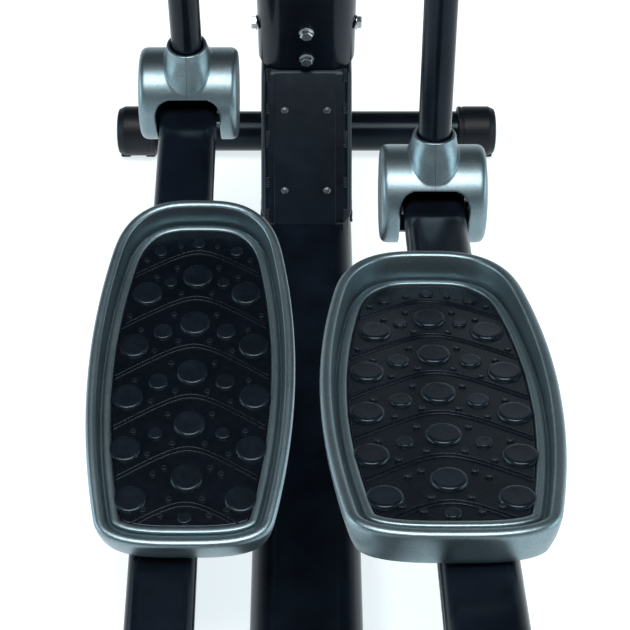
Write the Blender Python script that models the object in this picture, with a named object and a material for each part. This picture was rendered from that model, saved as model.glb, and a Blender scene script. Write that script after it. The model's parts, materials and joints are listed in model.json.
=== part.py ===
"""Elliptical trainer with a rear drive, at the pose with the left pedal forward.

Frame: +X to the rider's right, +Y forward to the console, +Z up. The origin is on the floor
under the middle of the machine. Lengths are metres and angles degrees unless a name says so.
"""

import math

import bmesh
import bpy
from mathutils import Matrix, Vector

# Driving dimensions
GAP = 0.0003                    # clearance between neighbouring pieces
WHEELBASE = 1.56                # between the two stabilizer tubes
STABILIZER_HALF = 0.2375        # half the width over the stabilizer caps
STABILIZER_RADIUS = 0.025
TUBE_WALL = 0.0025
CAP_RADIUS = 0.031
CAP_LENGTH = 0.048
CAP_OVERLAP = 0.012             # how far the tube reaches into its cap
FOOT_RIDGES = ((0.002, 0.015), (0.033, 0.046))  # under each cap, from its inner end
ROLLER = (0.0165, -0.0145)      # transport roller centre from the cap's axis, as (y, z)
ROLLER_RADIUS = 0.0135
ROLLER_X = STABILIZER_HALF - 0.0235
ROLLER_SLOT = 0.017
ROLLER_PIN = 0.003
RAIL_WIDTH = 0.102
RAIL_HEIGHT = 0.050
RAIL_CORNER = 0.0245
RAIL_WALL = 0.003
RAIL_OVERHANG = 0.028           # past each stabilizer's centre line
SOCKET_HALF = 0.051
SOCKET_REAR = 0.510             # y where the sloping rear face meets the rail
SOCKET_FRONT = 0.752
SOCKET_WALL = 0.004
SPIGOT_LENGTH = 0.120           # how far the socket's spigot reaches into the mast
PLATE = (0.069, 0.166, 0.002)   # access plate on the socket's slope: width, length and thickness
MAST_WIDTH = 0.108
MAST_DEPTH = 0.060
MAST_CORNER = 0.026
MAST_LENGTH = 1.30              # before its top is cut to the console
MAST_LEAN = 15.06               # the mast leans back towards the rider
MAST_FOOT = (0.66, 0.2385)      # where its centre line leaves the socket, as (y, z)
PIVOT = (0.470, 0.939)          # swing arm pivot on the mast centre line
PIVOT_RADIUS = 0.010
PIVOT_HALF = 0.150
BOSS_RADIUS = 0.021             # pivot bosses on the mast's sides
BOSS_END = 0.0965
SWING_RADIUS = 0.6866           # pivot to link joint
CRANK = (-0.445, 0.265)         # crank axle
CRANK_RADIUS = 0.180            # half the 360 mm stride
CRANK_ANGLE = 28.06             # left crank pin, forward of straight down
CRANK_AXLE = 0.010
CRANK_X = (0.066, 0.080)        # sides of each crank arm
CRANK_PIN = (0.0812, 0.161)     # ends of each crank pin from the middle of the machine
PIN_HEAD = (0.0335, 0.038)      # ends of the pin's head from the pedal arm's centre line
ARM_LENGTH = 0.9214             # link joint to crank pin
ARM_X = 0.125                   # plane of each swing arm and pedal arm
ARM_WIDTH = 0.060
ARM_HEIGHT = 0.030
ARM_NOSE = 0.011                # half height where the arm leaves the drum
ARM_CORNER = 0.009
SLEEVE_RADIUS = 0.021           # bearing sleeves at both ends of a pedal arm
TUBE_RADIUS = 0.016             # swing arms and upper handles
HUB_RADIUS = 0.024
HUB_HALF = 0.026
YOKE_RADIUS = 0.0165
YOKE_X = (0.0355, 0.0425)       # sides of each cheek of the yoke round the link joint
YOKE_TOP = -SWING_RADIUS + 0.038
LINK_BORE = 0.008
LINK_HALF = 0.046
GRIP_RADIUS = 0.0205
PEDAL_LENGTH = 0.388
PEDAL_HALF_WIDTH = 0.0942
PEDAL_START = 0.195             # front of the pedal behind the link joint
PEDAL_INBOARD = 0.0205          # pedal centre line inboard of its arm
PEDAL_NOSE = 0.070              # length of the outline's rounded front
PEDAL_HEEL = 0.030
PEDAL_WIDEST = 0.205            # widest place behind the front, with the sides' curvature
PEDAL_BULGE = 0.68
RIM_HEIGHT = 0.052              # pedal rim above the arm's centre line
DECK = (0.027, 0.047)           # height of the foot bed above the arm at the toe and the heel
DRUM_RADIUS = 0.049             # shroud round the link joint
DRUM_HALF = 0.052
DRUM_WALL = 0.003
CUT_TOP = 33.0                  # top edge of the drum's opening, above the rearward direction
CUT_HALF = 0.0335               # half the opening's width
FLYWHEEL = (-0.665, 0.250)      # flywheel axle
FLYWHEEL_RADIUS = 0.110
FLYWHEEL_X = (-0.036, -0.006)
FLYWHEEL_AXLE = 0.006
DRIVE_RADIUS = 0.115            # crank pulley
DRIVEN_RADIUS = 0.020           # flywheel pulley
PULLEY_SIDES = 32
BELT_X = 0.029
BELT_HALF = 0.008
BELT_THICK = 0.003
IDLER_RADIUS = 0.014
IDLER_BOLT = 0.004
PLATE_X = 0.0455                # inner face of each bracket plate
BRACKET_WALL = 0.005
BRAKE_PIVOT = (-0.7772, 0.2950)
BRAKE_ARC = range(72, 157, 7)   # degrees round the flywheel
HOUSING_RADIUS = 0.135
HOUSING_HALF = 0.060
AXLE_HOLE = 0.018               # in each housing half, round the crank axle
INLET_X = 0.030                 # low-voltage inlet in the rear of the housing
INLET = (-0.7975, 0.235)
BAR_RADIUS = 0.0127
BAR_FOOT = 1.190                # height of the fixed bar on the mast
PULSE_RADIUS = 0.0165
CONSOLE_CENTRE = (0.318, 1.405)
CONSOLE_PITCH = 55.0            # the display faces the rider, leaning back
CONSOLE_SIZE = (0.250, 0.165, 0.040)
CONSOLE_CORNER = 0.030
DISPLAY = (0.130, 0.070, 0.028)     # window width, height and its centre above the console's middle
BUTTONS = {"start": -0.080, "mode": -0.040, "enter": 0.0, "down": 0.040, "up": 0.080}
BUTTON_Y = -0.042
BUTTON_RADIUS = 0.0090
BUTTON_PROUD = 0.0015

STAB_Z = CAP_RADIUS
RAIL_BASE = STAB_Z + STABILIZER_RADIUS + GAP
RAIL_TOP = RAIL_BASE + RAIL_HEIGHT
SIDES = (("left", -1), ("right", 1))
ROUND = 16                      # sides of an ordinary round piece
SMOOTH_BELOW = math.radians(35)     # faces that meet at less are shaded as one curve


def linear(code):
    """Linear colour of an sRGB hex code."""
    channels = [int(code[i:i + 2], 16) / 255 for i in (0, 2, 4)]
    curve = [c / 12.92 if c <= 0.04045 else ((c + 0.055) / 1.055) ** 2.4 for c in channels]
    return (*curve, 1.0)


def finish(name, code, roughness, metallic=0.0):
    material = bpy.data.materials.new(name)
    material.use_nodes = True
    shader = material.node_tree.nodes["Principled BSDF"]
    shader.inputs["Base Color"].default_value = linear(code)
    shader.inputs["Roughness"].default_value = roughness
    shader.inputs["Metallic"].default_value = metallic
    return material


# Outlines, as lists of (a, b) points running anticlockwise
def circle(radius, sides=ROUND, centre=(0.0, 0.0)):
    turns = [math.tau * i / sides for i in range(sides)]
    return [(centre[0] + radius * math.cos(t), centre[1] + radius * math.sin(t)) for t in turns]


def rounded_box(width, height, radius, steps=4):
    points = []
    for quarter in range(4):
        sign_a = 1 if quarter in (0, 3) else -1
        sign_b = 1 if quarter in (0, 1) else -1
        for step in range(steps + 1):
            turn = math.radians(90 * (quarter + step / steps))
            points.append((sign_a * (width / 2 - radius) + radius * math.cos(turn),
                           sign_b * (height / 2 - radius) + radius * math.sin(turn)))
    return points


def hull(points):
    """Convex outline round the points, anticlockwise."""
    ordered = sorted(set(points))

    def half(sequence):
        chain = []
        for p in sequence:
            while len(chain) > 1 and (
                (chain[-1][0] - chain[-2][0]) * (p[1] - chain[-2][1])
                - (chain[-1][1] - chain[-2][1]) * (p[0] - chain[-2][0])
            ) <= 1e-12:
                chain.pop()
            chain.append(p)
        return chain[:-1]

    return half(ordered) + half(ordered[::-1])


def inset(outline, distance):
    """The outline moved inwards, for an anticlockwise outline without sharp corners."""
    moved = []
    for i, (a, b) in enumerate(outline):
        before = outline[i - 1]
        after = outline[(i + 1) % len(outline)]
        along = Vector((after[0] - before[0], after[1] - before[1])).normalized()
        moved.append((a - along.y * distance, b + along.x * distance))
    return moved


# Meshes
AXES = {
    "X": lambda a, b, c: (c, a, b),
    "Y": lambda a, b, c: (a, c, b),
    "Z": lambda a, b, c: (a, b, c),
}


def loft(rings, closed=False):
    """A solid through rings of as many points each, capped at both ends or joined end to end."""
    mesh = bmesh.new()
    rows = [[mesh.verts.new(p) for p in ring] for ring in rings]
    pairs = list(zip(rows, rows[1:])) + ([(rows[-1], rows[0])] if closed else [])
    for low, high in pairs:
        for i in range(len(low)):
            j = (i + 1) % len(low)
            mesh.faces.new((low[i], low[j], high[j], high[i]))
    if not closed:
        mesh.faces.new(rows[0][::-1])
        mesh.faces.new(rows[-1])
    return mesh


def prism(outline, low, high, axis="X"):
    place = AXES[axis]
    return loft([[place(a, b, level) for a, b in outline] for level in (low, high)])


def box(low, high):
    centre = (Vector(low) + Vector(high)) / 2
    size = Vector(high) - Vector(low)
    mesh = bmesh.new()
    bmesh.ops.create_cube(mesh, size=1.0, matrix=Matrix.Translation(centre) @ Matrix.Diagonal((*size, 1)))
    return mesh


def turned(profile, axis="X", sides=ROUND, centre=(0.0, 0.0)):
    """The (radius, level) profile turned about an axis, solid where it starts and ends at radius 0."""
    place = AXES[axis]
    hollow = profile[0][0] > 0
    inner = profile if hollow else profile[1:-1]
    rings = [[place(a, b, level) for a, b in circle(radius, sides, centre)] for radius, level in inner]
    return loft(rings, closed=hollow)


def rod(radius, low, high, axis="X", centre=(0.0, 0.0), sides=ROUND):
    return prism(circle(radius, sides, centre), low, high, axis)


def smooth_path(points, steps=6):
    """A Catmull-Rom curve through the points."""
    knots = [Vector(p) for p in points]
    knots = [2 * knots[0] - knots[1]] + knots + [2 * knots[-1] - knots[-2]]
    path = []
    for a, b, c, d in zip(knots, knots[1:], knots[2:], knots[3:]):
        for step in range(steps):
            t = step / steps
            path.append(0.5 * (2 * b + (c - a) * t + (2 * a - 5 * b + 4 * c - d) * t ** 2
                               + (3 * b - a - 3 * c + d) * t ** 3))
    return path + [knots[-2]]


def piped(path, radius, bore=0.0, sides=16):
    """A tube along a path, hollow where it has a bore."""
    stations = []
    across = (path[1] - path[0]).orthogonal()
    for i, point in enumerate(path):
        along = (path[min(i + 1, len(path) - 1)] - path[max(i - 1, 0)]).normalized()
        across = (across - along * across.dot(along)).normalized()
        stations.append((point, across, along.cross(across)))

    def rings(size):
        return [[point + a * one + b * other for a, b in circle(size, sides)]
                for point, one, other in stations]

    if not bore:
        return loft(rings(radius))
    return loft(rings(radius) + rings(bore)[::-1], closed=True)


# Objects
def axis_empty(name, location, turn_x=0.0, parent=None):
    empty = bpy.data.objects.new(name, None)
    bpy.context.scene.collection.objects.link(empty)
    empty.location = location
    empty.rotation_euler = (math.radians(turn_x), 0.0, 0.0)
    empty.parent = parent
    return empty


def add(name, mesh, material, parent=None, location=(0.0, 0.0, 0.0)):
    """A named object from a bmesh, shaded smooth except at its sharp edges."""
    bmesh.ops.recalc_face_normals(mesh, faces=mesh.faces)
    data = bpy.data.meshes.new(name)
    mesh.to_mesh(data)
    mesh.free()
    if material:
        data.materials.append(material)
    data.shade_smooth()
    data.set_sharp_from_angle(angle=SMOOTH_BELOW)
    piece = bpy.data.objects.new(name, data)
    bpy.context.scene.collection.objects.link(piece)
    piece.location = location
    piece.parent = parent
    return piece


def combine(piece, operation, *meshes):
    """Adds to or cuts from the piece, in its own coordinates."""
    for mesh in meshes:
        tool = add("tool", mesh, None, piece.parent, piece.location)
        tool.hide_render = True
        tool.display_type = "WIRE"
        modifier = piece.modifiers.new("combine", "BOOLEAN")
        modifier.operation = operation
        modifier.object = tool
        bpy.context.view_layer.update()
        graph = bpy.context.evaluated_depsgraph_get()
        result = bpy.data.meshes.new_from_object(piece.evaluated_get(graph))
        piece.modifiers.clear()
        old = piece.data
        piece.data = result
        bpy.data.meshes.remove(old)
        result.name = piece.name
        bpy.data.objects.remove(tool)
    piece.data.set_sharp_from_angle(angle=SMOOTH_BELOW)
    return piece


def join_on(piece, *meshes):
    return combine(piece, "UNION", *meshes)


def cut(piece, *meshes):
    return combine(piece, "DIFFERENCE", *meshes)


# Linkage at rest
def crank_pin(side):
    turn = math.radians(CRANK_ANGLE)
    forward = -side * CRANK_RADIUS
    return Vector((CRANK[0] + forward * math.sin(turn), CRANK[1] - forward * math.cos(turn)))


def link_joint(side):
    """Where the pedal arm from the crank pin meets the swing arm from the pivot."""
    pin = crank_pin(side)
    reach = Vector(PIVOT) - pin
    span = reach.length
    along = (span ** 2 + ARM_LENGTH ** 2 - SWING_RADIUS ** 2) / (2 * span)
    off = math.sqrt(ARM_LENGTH ** 2 - along ** 2)
    unit = reach / span
    return pin + unit * along + Vector((unit.y, -unit.x)) * off


def swing_angle(side):
    joint = link_joint(side)
    return math.degrees(math.atan2(joint.x - PIVOT[0], PIVOT[1] - joint.y))


def arm_angle(side):
    """Turn of the pedal arm about +X: positive when its rear end is the lower one."""
    joint = link_joint(side)
    pin = crank_pin(side)
    return math.degrees(math.atan2(joint.y - pin.y, joint.x - pin.x))


# Base
def stabilizer(name, y, metal):
    tube_end = STABILIZER_HALF - CAP_LENGTH + CAP_OVERLAP
    bore = STABILIZER_RADIUS - TUBE_WALL
    profile = [(STABILIZER_RADIUS, -tube_end), (STABILIZER_RADIUS, tube_end),
               (bore, tube_end), (bore, -tube_end)]
    return add(name, turned(profile), metal, location=(0, y, STAB_Z))


def stabilizer_cap(name, side, y, plastic, with_roller):
    """Push-on cap: a plug in the tube, a sleeve over it, a domed end and two foot ridges."""
    inner = STABILIZER_HALF - CAP_LENGTH
    outer = STABILIZER_HALF
    plug = STABILIZER_RADIUS - TUBE_WALL - GAP
    sleeve = STABILIZER_RADIUS + GAP
    seat = inner + CAP_OVERLAP + GAP
    bend = 0.006
    arc = [(CAP_RADIUS - bend + bend * math.cos(t), outer - 0.002 - bend + bend * math.sin(t))
           for t in (math.radians(30 * k) for k in range(4))]
    profile = [(0, inner - 0.020), (plug - 0.002, inner - 0.020), (plug, inner - 0.017), (plug, seat),
               (sleeve, seat), (sleeve, inner), (CAP_RADIUS - 0.001, inner), (CAP_RADIUS, inner + 0.001),
               *arc, (CAP_RADIUS * 0.45, outer), (0, outer)]
    mirror = [(radius, side * level) for radius, level in profile]
    cap = add(name, turned(mirror), plastic, location=(0, y, STAB_Z))
    for near, far in FOOT_RIDGES:
        ends = sorted((side * (inner + near), side * (inner + far)))
        join_on(cap, box((ends[0], -0.014, -STAB_Z), (ends[1], 0.014, -STAB_Z + 0.004)))
    if with_roller:
        half = ROLLER_SLOT / 2
        middle = side * ROLLER_X
        slot = rod(ROLLER_RADIUS + 0.0015, middle - half, middle + half, centre=ROLLER, sides=16)
        cut(cap, slot)
        ends = sorted((middle - side * (half + 0.003), middle + side * (half + 0.006)))
        join_on(cap, rod(ROLLER_PIN, *ends, centre=ROLLER, sides=12))
    return cap


def base(metal, plastic, rubber):
    stabilizer("front_stabilizer", WHEELBASE / 2, metal)
    stabilizer("rear_stabilizer", -WHEELBASE / 2, metal)
    for word, side in SIDES:
        stabilizer_cap("front_cap_" + word, side, WHEELBASE / 2, plastic, True)
        stabilizer_cap("rear_cap_" + word, side, -WHEELBASE / 2, plastic, False)
        centre = (side * ROLLER_X, WHEELBASE / 2 + ROLLER[0], STAB_Z + ROLLER[1])
        hub = axis_empty("roller_axis_" + word, centre)
        half = ROLLER_SLOT / 2 - 0.001
        edge = 0.0015
        bore = ROLLER_PIN + GAP
        profile = [(ROLLER_RADIUS, -half + edge), (ROLLER_RADIUS, half - edge), (ROLLER_RADIUS - edge, half),
                   (bore, half), (bore, -half), (ROLLER_RADIUS - edge, -half)]
        add("transport_roller_" + word, turned(profile, sides=16), rubber, hub)
    rail_half = WHEELBASE / 2 + RAIL_OVERHANG
    outline = rounded_box(RAIL_WIDTH, RAIL_HEIGHT, RAIL_CORNER)
    inside = inset(outline, RAIL_WALL)
    place = AXES["Y"]
    rings = [[place(a, b, y) for a, b in edge]
             for edge, y in ((outline, -rail_half), (outline, rail_half),
                             (inside, rail_half), (inside, -rail_half))]
    add("main_rail", loft(rings, closed=True), metal, location=(0, 0, RAIL_BASE + RAIL_HEIGHT / 2))


# Mast and its welded socket
def mast_axes():
    lean = math.radians(MAST_LEAN)
    up = Vector((0, -math.sin(lean), math.cos(lean)))
    front = Vector((0, math.cos(lean), math.sin(lean)))
    return up, front


def mast_prism(outline, low, high):
    """A prism along the leaning mast, from its foot."""
    up, front = mast_axes()
    foot = Vector((0, *MAST_FOOT))
    right = Vector((1, 0, 0))
    return loft([[foot + right * a + front * b + up * level for a, b in outline] for level in (low, high)])


def socket_outline(wall):
    """Side view of the welded box, inset by the wall."""
    up, front = mast_axes()
    foot = Vector((0, *MAST_FOOT))
    rear_top = foot - front * (MAST_DEPTH / 2) - up * GAP
    front_top = foot + front * (MAST_DEPTH / 2 + 0.004) - up * GAP
    floor = RAIL_TOP + GAP + wall
    slope = wall * 1.41
    return [(SOCKET_REAR + slope + wall, floor), (SOCKET_FRONT - wall * 1.2, floor),
            (front_top.y - wall, front_top.z - wall), (rear_top.y + wall * 0.7, rear_top.z - wall)]


def mast_socket(metal):
    socket = add("mast_socket", prism(socket_outline(0.0), -SOCKET_HALF, SOCKET_HALF), metal)
    slack = 0.007               # between the spigot and the outside of the mast
    spigot = rounded_box(MAST_WIDTH - slack, MAST_DEPTH - slack, 0.022)
    join_on(socket, mast_prism(spigot, -0.02, SPIGOT_LENGTH))
    inside = SOCKET_HALF - SOCKET_WALL
    cut(socket, prism(socket_outline(SOCKET_WALL), -inside, inside))
    cut(socket, mast_prism(inset(spigot, 0.003), -0.03, SPIGOT_LENGTH + 0.01))
    middle, along, out = plate_frame()
    window = [middle + along * b + Vector((1, 0, 0)) * a for a, b in rounded_box(0.036, 0.120, 0.01, 3)]
    cut(socket, loft([[p - out * 0.012 for p in window], [p + out * 0.004 for p in window]]))


def plate_frame():
    """Middle of the sloping rear face of the socket, the direction up it, and its outward normal."""
    corners = socket_outline(0.0)
    low = Vector((0, *corners[0]))
    high = Vector((0, *corners[3]))
    along = (high - low).normalized()
    out = Vector((0, -along.z, along.y))
    return (low + high) / 2, along, out


def access_plate(metal):
    middle, along, out = plate_frame()
    width, length, thickness = PLATE
    outline = rounded_box(width, length, 0.002, 1)
    rings = [[middle + Vector((a, 0, 0)) + along * b + out * level for a, b in outline]
             for level in (GAP, GAP + thickness)]
    add("access_plate", loft(rings), metal)


def console_frame_matrix():
    return Matrix.Translation((0, *CONSOLE_CENTRE)) @ Matrix.Rotation(math.radians(CONSOLE_PITCH), 4, "X")


def mast(metal):
    outline = rounded_box(MAST_WIDTH, MAST_DEPTH, MAST_CORNER)
    post = add("mast", mast_prism(outline, 0.0, MAST_LENGTH), metal)
    cut(post, mast_prism(inset(outline, TUBE_WALL), -0.011, MAST_LENGTH + 0.012))
    for side in (-1, 1):
        ends = sorted((side * (MAST_WIDTH / 2 - 0.008), side * BOSS_END))
        join_on(post, rod(BOSS_RADIUS, *ends, centre=PIVOT))
    cut(post, rod(PIVOT_RADIUS + GAP, -PIVOT_HALF, PIVOT_HALF, centre=PIVOT))
    above = box((-0.2, -0.3, -CONSOLE_SIZE[2] / 2 - GAP), (0.2, 0.3, 0.4))
    above.transform(console_frame_matrix())
    cut(post, above)


# Swing arms
def handle_path(side):
    """Upper handle in the swing arm's frame: out past the console, then up and back."""
    points = [(0, 0.1215), (0, 0.150), (0.030, 0.195), (0.082, 0.265), (0.108, 0.340), (0.114, 0.430),
              (0.112, 0.520), (0.106, 0.575)]
    back = [0, 0, 0.002, 0.008, 0.010, 0.000, -0.030, -0.062]
    return smooth_path([(side * x, y, z) for (x, z), y in zip(points, back)], 2)


def swing_arm(word, side, frame, metal):
    hollow = TUBE_RADIUS - TUBE_WALL
    tube = rod(TUBE_RADIUS, YOKE_TOP - 0.004, 0.119, "Z", sides=20)
    arm = add("swing_arm_" + word, tube, metal, frame)
    join_on(arm, rod(HUB_RADIUS, -HUB_HALF, HUB_HALF, sides=18))
    bridge = (0.043, 0.0175)    # half sizes of the block that carries the cheeks
    join_on(arm, box((-bridge[0], -bridge[1], YOKE_TOP - 0.009), (bridge[0], bridge[1], YOKE_TOP)))
    for cheek in (-1, 1):
        ends = sorted((cheek * YOKE_X[0], cheek * YOKE_X[1]))
        shoulder = [(-0.0155, YOKE_TOP - 0.001), (0.0155, YOKE_TOP - 0.001)]
        join_on(arm, prism(hull(circle(YOKE_RADIUS, 18, (0, -SWING_RADIUS)) + shoulder), *ends))
    cut(arm, rod(hollow, YOKE_TOP + 0.007, 0.13, "Z", sides=14))
    cut(arm, rod(PIVOT_RADIUS + GAP, -0.05, 0.05, sides=18))
    cut(arm, rod(LINK_BORE + GAP, -0.06, 0.06, centre=(0, -SWING_RADIUS), sides=24))
    return arm


def pivot_cap(word, side, frame, plastic):
    base_x = side * (HUB_HALF + GAP)
    profile = [(0, base_x), (HUB_RADIUS + 0.002, base_x), (HUB_RADIUS + 0.002, base_x + side * 0.004),
               (HUB_RADIUS - 0.002, base_x + side * 0.009), (HUB_RADIUS * 0.5, base_x + side * 0.012),
               (0, base_x + side * 0.012)]
    add("pivot_cap_" + word, turned(profile), plastic, frame)


def upper_handle(word, side, frame, metal, foam):
    path = handle_path(side)
    handle = add("upper_handle_" + word, piped(path, TUBE_RADIUS, sides=12), metal, frame)
    join_on(handle, rod(TUBE_RADIUS - TUBE_WALL - 3 * GAP, 0.045, 0.125, "Z", sides=14))
    grip = path[-7:]
    end = grip[-1] + (grip[-1] - grip[-2]).normalized() * 0.004
    sleeve = piped(grip[:-1] + [end], GRIP_RADIUS, TUBE_RADIUS + 2 * GAP, 12)
    add("handle_grip_" + word, sleeve, foam, frame)


def shroud_half(name, side, outward, frame, plastic):
    """One moulded half of the shell round the link joint: half a drum with half a collar."""
    centre = (0, -SWING_RADIUS)
    bend = 0.006
    edge = [(DRUM_RADIUS - bend + bend * math.cos(t), outward * (DRUM_HALF - bend + bend * math.sin(t)))
            for t in (math.radians(45 * k) for k in range(3))]
    profile = [(0, outward * GAP / 2), (DRUM_RADIUS, outward * GAP / 2), *edge, (0, outward * DRUM_HALF)]
    shell = add(name, turned(profile, sides=28, centre=centre), plastic, frame)
    collar = [[(a * scale, b * scale + shift, z) for a, b in circle(0.022, 16)]
              for scale, shift, z in ((1.30, -0.004, -SWING_RADIUS + 0.030), (1.14, -0.003, -SWING_RADIUS + 0.046),
                                      (1.02, -0.001, -SWING_RADIUS + 0.060), (1.0, 0.0, -SWING_RADIUS + 0.074))]
    join_on(shell, loft(collar))
    beyond = sorted((outward * GAP / 2, -outward * 0.2))
    cut(shell, box((beyond[0], -0.2, -1.0), (beyond[1], 0.2, 0.2)))
    inside = sorted((-outward * 0.01, outward * (DRUM_HALF - DRUM_WALL)))
    cut(shell, rod(DRUM_RADIUS - DRUM_WALL, *inside, centre=centre, sides=28))
    cut(shell, rod(TUBE_RADIUS + GAP, -SWING_RADIUS, -SWING_RADIUS + 0.1, "Z"))
    top = DRUM_RADIUS * math.sin(math.radians(CUT_TOP))
    rear = [(-0.08, top), (-0.08, -0.07), (0.02, -0.07), (0.0, -0.02), (-0.02, top)]
    opening = [(y, z - SWING_RADIUS) for y, z in rear]
    cut(shell, prism(opening, -CUT_HALF, CUT_HALF))
    return shell


def swing_side(word, side, metal, grey, plastic, foam, zinc):
    frame = axis_empty("swing_axis_" + word, (side * ARM_X, *PIVOT), swing_angle(side))
    swing_arm(word, side, frame, metal)
    upper_handle(word, side, frame, metal, foam)
    pivot_cap(word, side, frame, plastic)
    shroud_half("shroud_outer_" + word, side, side, frame, grey)
    shroud_half("shroud_inner_" + word, side, -side, frame, grey)
    axle = rod(LINK_BORE, -LINK_HALF, LINK_HALF, centre=(0, -SWING_RADIUS), sides=24)
    add("link_axle_" + word, axle, zinc, frame)
    return frame


# Pedal arms, in a frame whose origin is the link joint and whose -Y runs along the arm
def pedal_arm(word, side, frame, metal):
    half = ARM_HEIGHT / 2
    rings = []
    for y, height in ((0.0, ARM_NOSE), (-0.045, ARM_NOSE), (-0.080, half), (-ARM_LENGTH, half)):
        outline = rounded_box(ARM_WIDTH, 2 * height, ARM_CORNER, 3)
        rings.append([(a, y, b) for a, b in outline])
    arm = add("pedal_arm_" + word, loft(rings), metal, frame)
    for proud, y in ((0.001, 0.0), (0.003, -ARM_LENGTH)):
        end = ARM_WIDTH / 2 + proud
        join_on(arm, rod(SLEEVE_RADIUS, -end, end, centre=(y, 0)))
    hollow = rounded_box(ARM_WIDTH - 0.005, ARM_HEIGHT - 0.005, 0.007, 3)
    lighter = [[(a, y, b * scale) for a, b in hollow]
               for y, scale in ((-0.006, 0.66), (-0.045, 0.66), (-0.080, 1.0), (-ARM_LENGTH + 0.006, 1.0))]
    cut(arm, loft(lighter))
    cut(arm, rod(LINK_BORE + GAP, -0.05, 0.05, sides=24))
    cut(arm, rod(CRANK_AXLE + GAP, -0.05, 0.05, centre=(-ARM_LENGTH, 0), sides=24))
    return arm


def pedal_outline(steps=32):
    """Foot plate outline as (across, along): a round nose, bulged sides and a squarer heel."""
    sides = []
    for k in range(steps // 2 + 1):
        u = 0.5 - 0.5 * math.cos(math.pi * k / (steps // 2))
        s = PEDAL_LENGTH * u
        bulge = PEDAL_HALF_WIDTH - PEDAL_BULGE * (s - PEDAL_WIDEST) ** 2
        front = (1 - max(0.0, 1 - s / PEDAL_NOSE) ** 3) ** (1 / 3)
        rear = (1 - max(0.0, 1 - (PEDAL_LENGTH - s) / PEDAL_HEEL) ** 3) ** (1 / 3)
        sides.append((bulge * front * rear, -PEDAL_START - s))
    right = sides[1:-1]
    return [sides[0]] + [(-a, b) for a, b in right] + [sides[-1]] + right[::-1]


def deck_height(along):
    """Height of the foot bed above the arm: it drops below the rim towards the toe."""
    share = (-along - PEDAL_START) / PEDAL_LENGTH
    return DECK[0] + (DECK[1] - DECK[0]) * share


def pedal_tray(word, side, frame, grey):
    """Moulded tray: a flat bottom, a skirt flaring up to a rounded rim, and a step down to the mat."""
    outline = pedal_outline()
    shift = -side * PEDAL_INBOARD

    def ring(distance, height):
        return [(a + shift, b, height(b)) for a, b in inset(outline, distance)]

    def level(z):
        return lambda b: z

    rings = [
        ring(0.024, lambda b: deck_height(b) - 0.0085),
        ring(0.012, lambda b: deck_height(b) - 0.0085),
        ring(0.0065, level(0.0205)),
        ring(0.0010, level(0.0380)),
        ring(0.0, level(0.0480)),
        ring(0.0040, level(RIM_HEIGHT)),
        ring(0.0070, level(0.0505)),
        ring(0.0100, lambda b: deck_height(b) - 0.0005),
        ring(0.0125, lambda b: deck_height(b) + 0.0010),
        ring(0.0170, lambda b: deck_height(b) + 0.0010),
        ring(0.0178, lambda b: deck_height(b) - 0.0045),
        ring(0.0240, lambda b: deck_height(b) - 0.0045),
    ]
    add("pedal_tray_" + word, loft(rings), grey, frame)


def pedal_mat(word, side, frame, rubber):
    outline = inset(pedal_outline(), 0.0184)
    shift = -side * PEDAL_INBOARD
    rings = [[(a + shift, b, deck_height(b) + level) for a, b in outline] for level in (-0.0042, -0.0002)]
    add("pedal_mat_" + word, loft(rings), rubber, frame)


def pedal_side(word, side, swing_frame, metal, grey, rubber, zinc):
    frame = axis_empty("pedal_axis_" + word, (0, 0, -SWING_RADIUS), arm_angle(side) - swing_angle(side), swing_frame)
    pedal_arm(word, side, frame, metal)
    pedal_tray(word, side, frame, grey)
    pedal_mat(word, side, frame, rubber)
    shank = sorted(side * (x - ARM_X) for x in CRANK_PIN)
    pin = add("crank_pin_" + word, rod(CRANK_AXLE, *shank, centre=(-ARM_LENGTH, 0), sides=24), zinc, frame)
    head = sorted(side * x for x in PIN_HEAD)
    join_on(pin, rod(0.015, *head, centre=(-ARM_LENGTH, 0), sides=24))


# Drive
def pulley_profile(radius, half, bore):
    return [(radius, -half), (radius, half), (bore, half), (bore, -half)]


def crank_set(metal, zinc, dark):
    frame = axis_empty("crank_axis", (0, *CRANK))
    axle_end = CRANK_X[1] - 0.0005
    add("crank_axle", rod(CRANK_AXLE, -axle_end, axle_end), zinc, frame)
    for word, side in SIDES:
        pin = crank_pin(side) - Vector(CRANK)
        outline = hull(circle(0.020, 20) + circle(0.016, 20, tuple(pin)))
        arm = add("crank_arm_" + word, prism(outline, *sorted(side * x for x in CRANK_X)), metal, frame)
        cut(arm, rod(CRANK_AXLE + GAP, -0.1, 0.1, sides=24))
    wheel = turned(pulley_profile(DRIVE_RADIUS, 0.010, CRANK_AXLE + 2 * GAP), sides=PULLEY_SIDES)
    drive = add("drive_pulley", wheel, dark, frame, location=(BELT_X, 0, 0))
    for hole in circle(0.068, 5):
        cut(drive, rod(0.024, -0.03, 0.03, centre=hole, sides=10))


def flywheel(iron):
    frame = axis_empty("flywheel_axis", (0, *FLYWHEEL))
    bore = FLYWHEEL_AXLE + GAP
    left, right = FLYWHEEL_X
    dish = 0.007                # depth of the recess between rim and hub
    hub_end = BELT_X + 0.0115
    disc = [(FLYWHEEL_RADIUS, left), (FLYWHEEL_RADIUS, right), (0.088, right), (0.088, right - dish),
            (0.028, right - dish), (DRIVEN_RADIUS, right - dish + 0.002),
            (DRIVEN_RADIUS, hub_end), (bore, hub_end), (bore, left)]
    add("flywheel", turned(disc, sides=PULLEY_SIDES), iron, frame)


def belt_tangent():
    """Outward unit normal of the belt's upper run, as (y, z)."""
    line = Vector(FLYWHEEL) - Vector(CRANK)
    along = line.normalized()
    up = Vector((along.y, -along.x))
    lean = (DRIVE_RADIUS - DRIVEN_RADIUS) / line.length
    return along * lean + up * math.sqrt(1 - lean ** 2)


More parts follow.
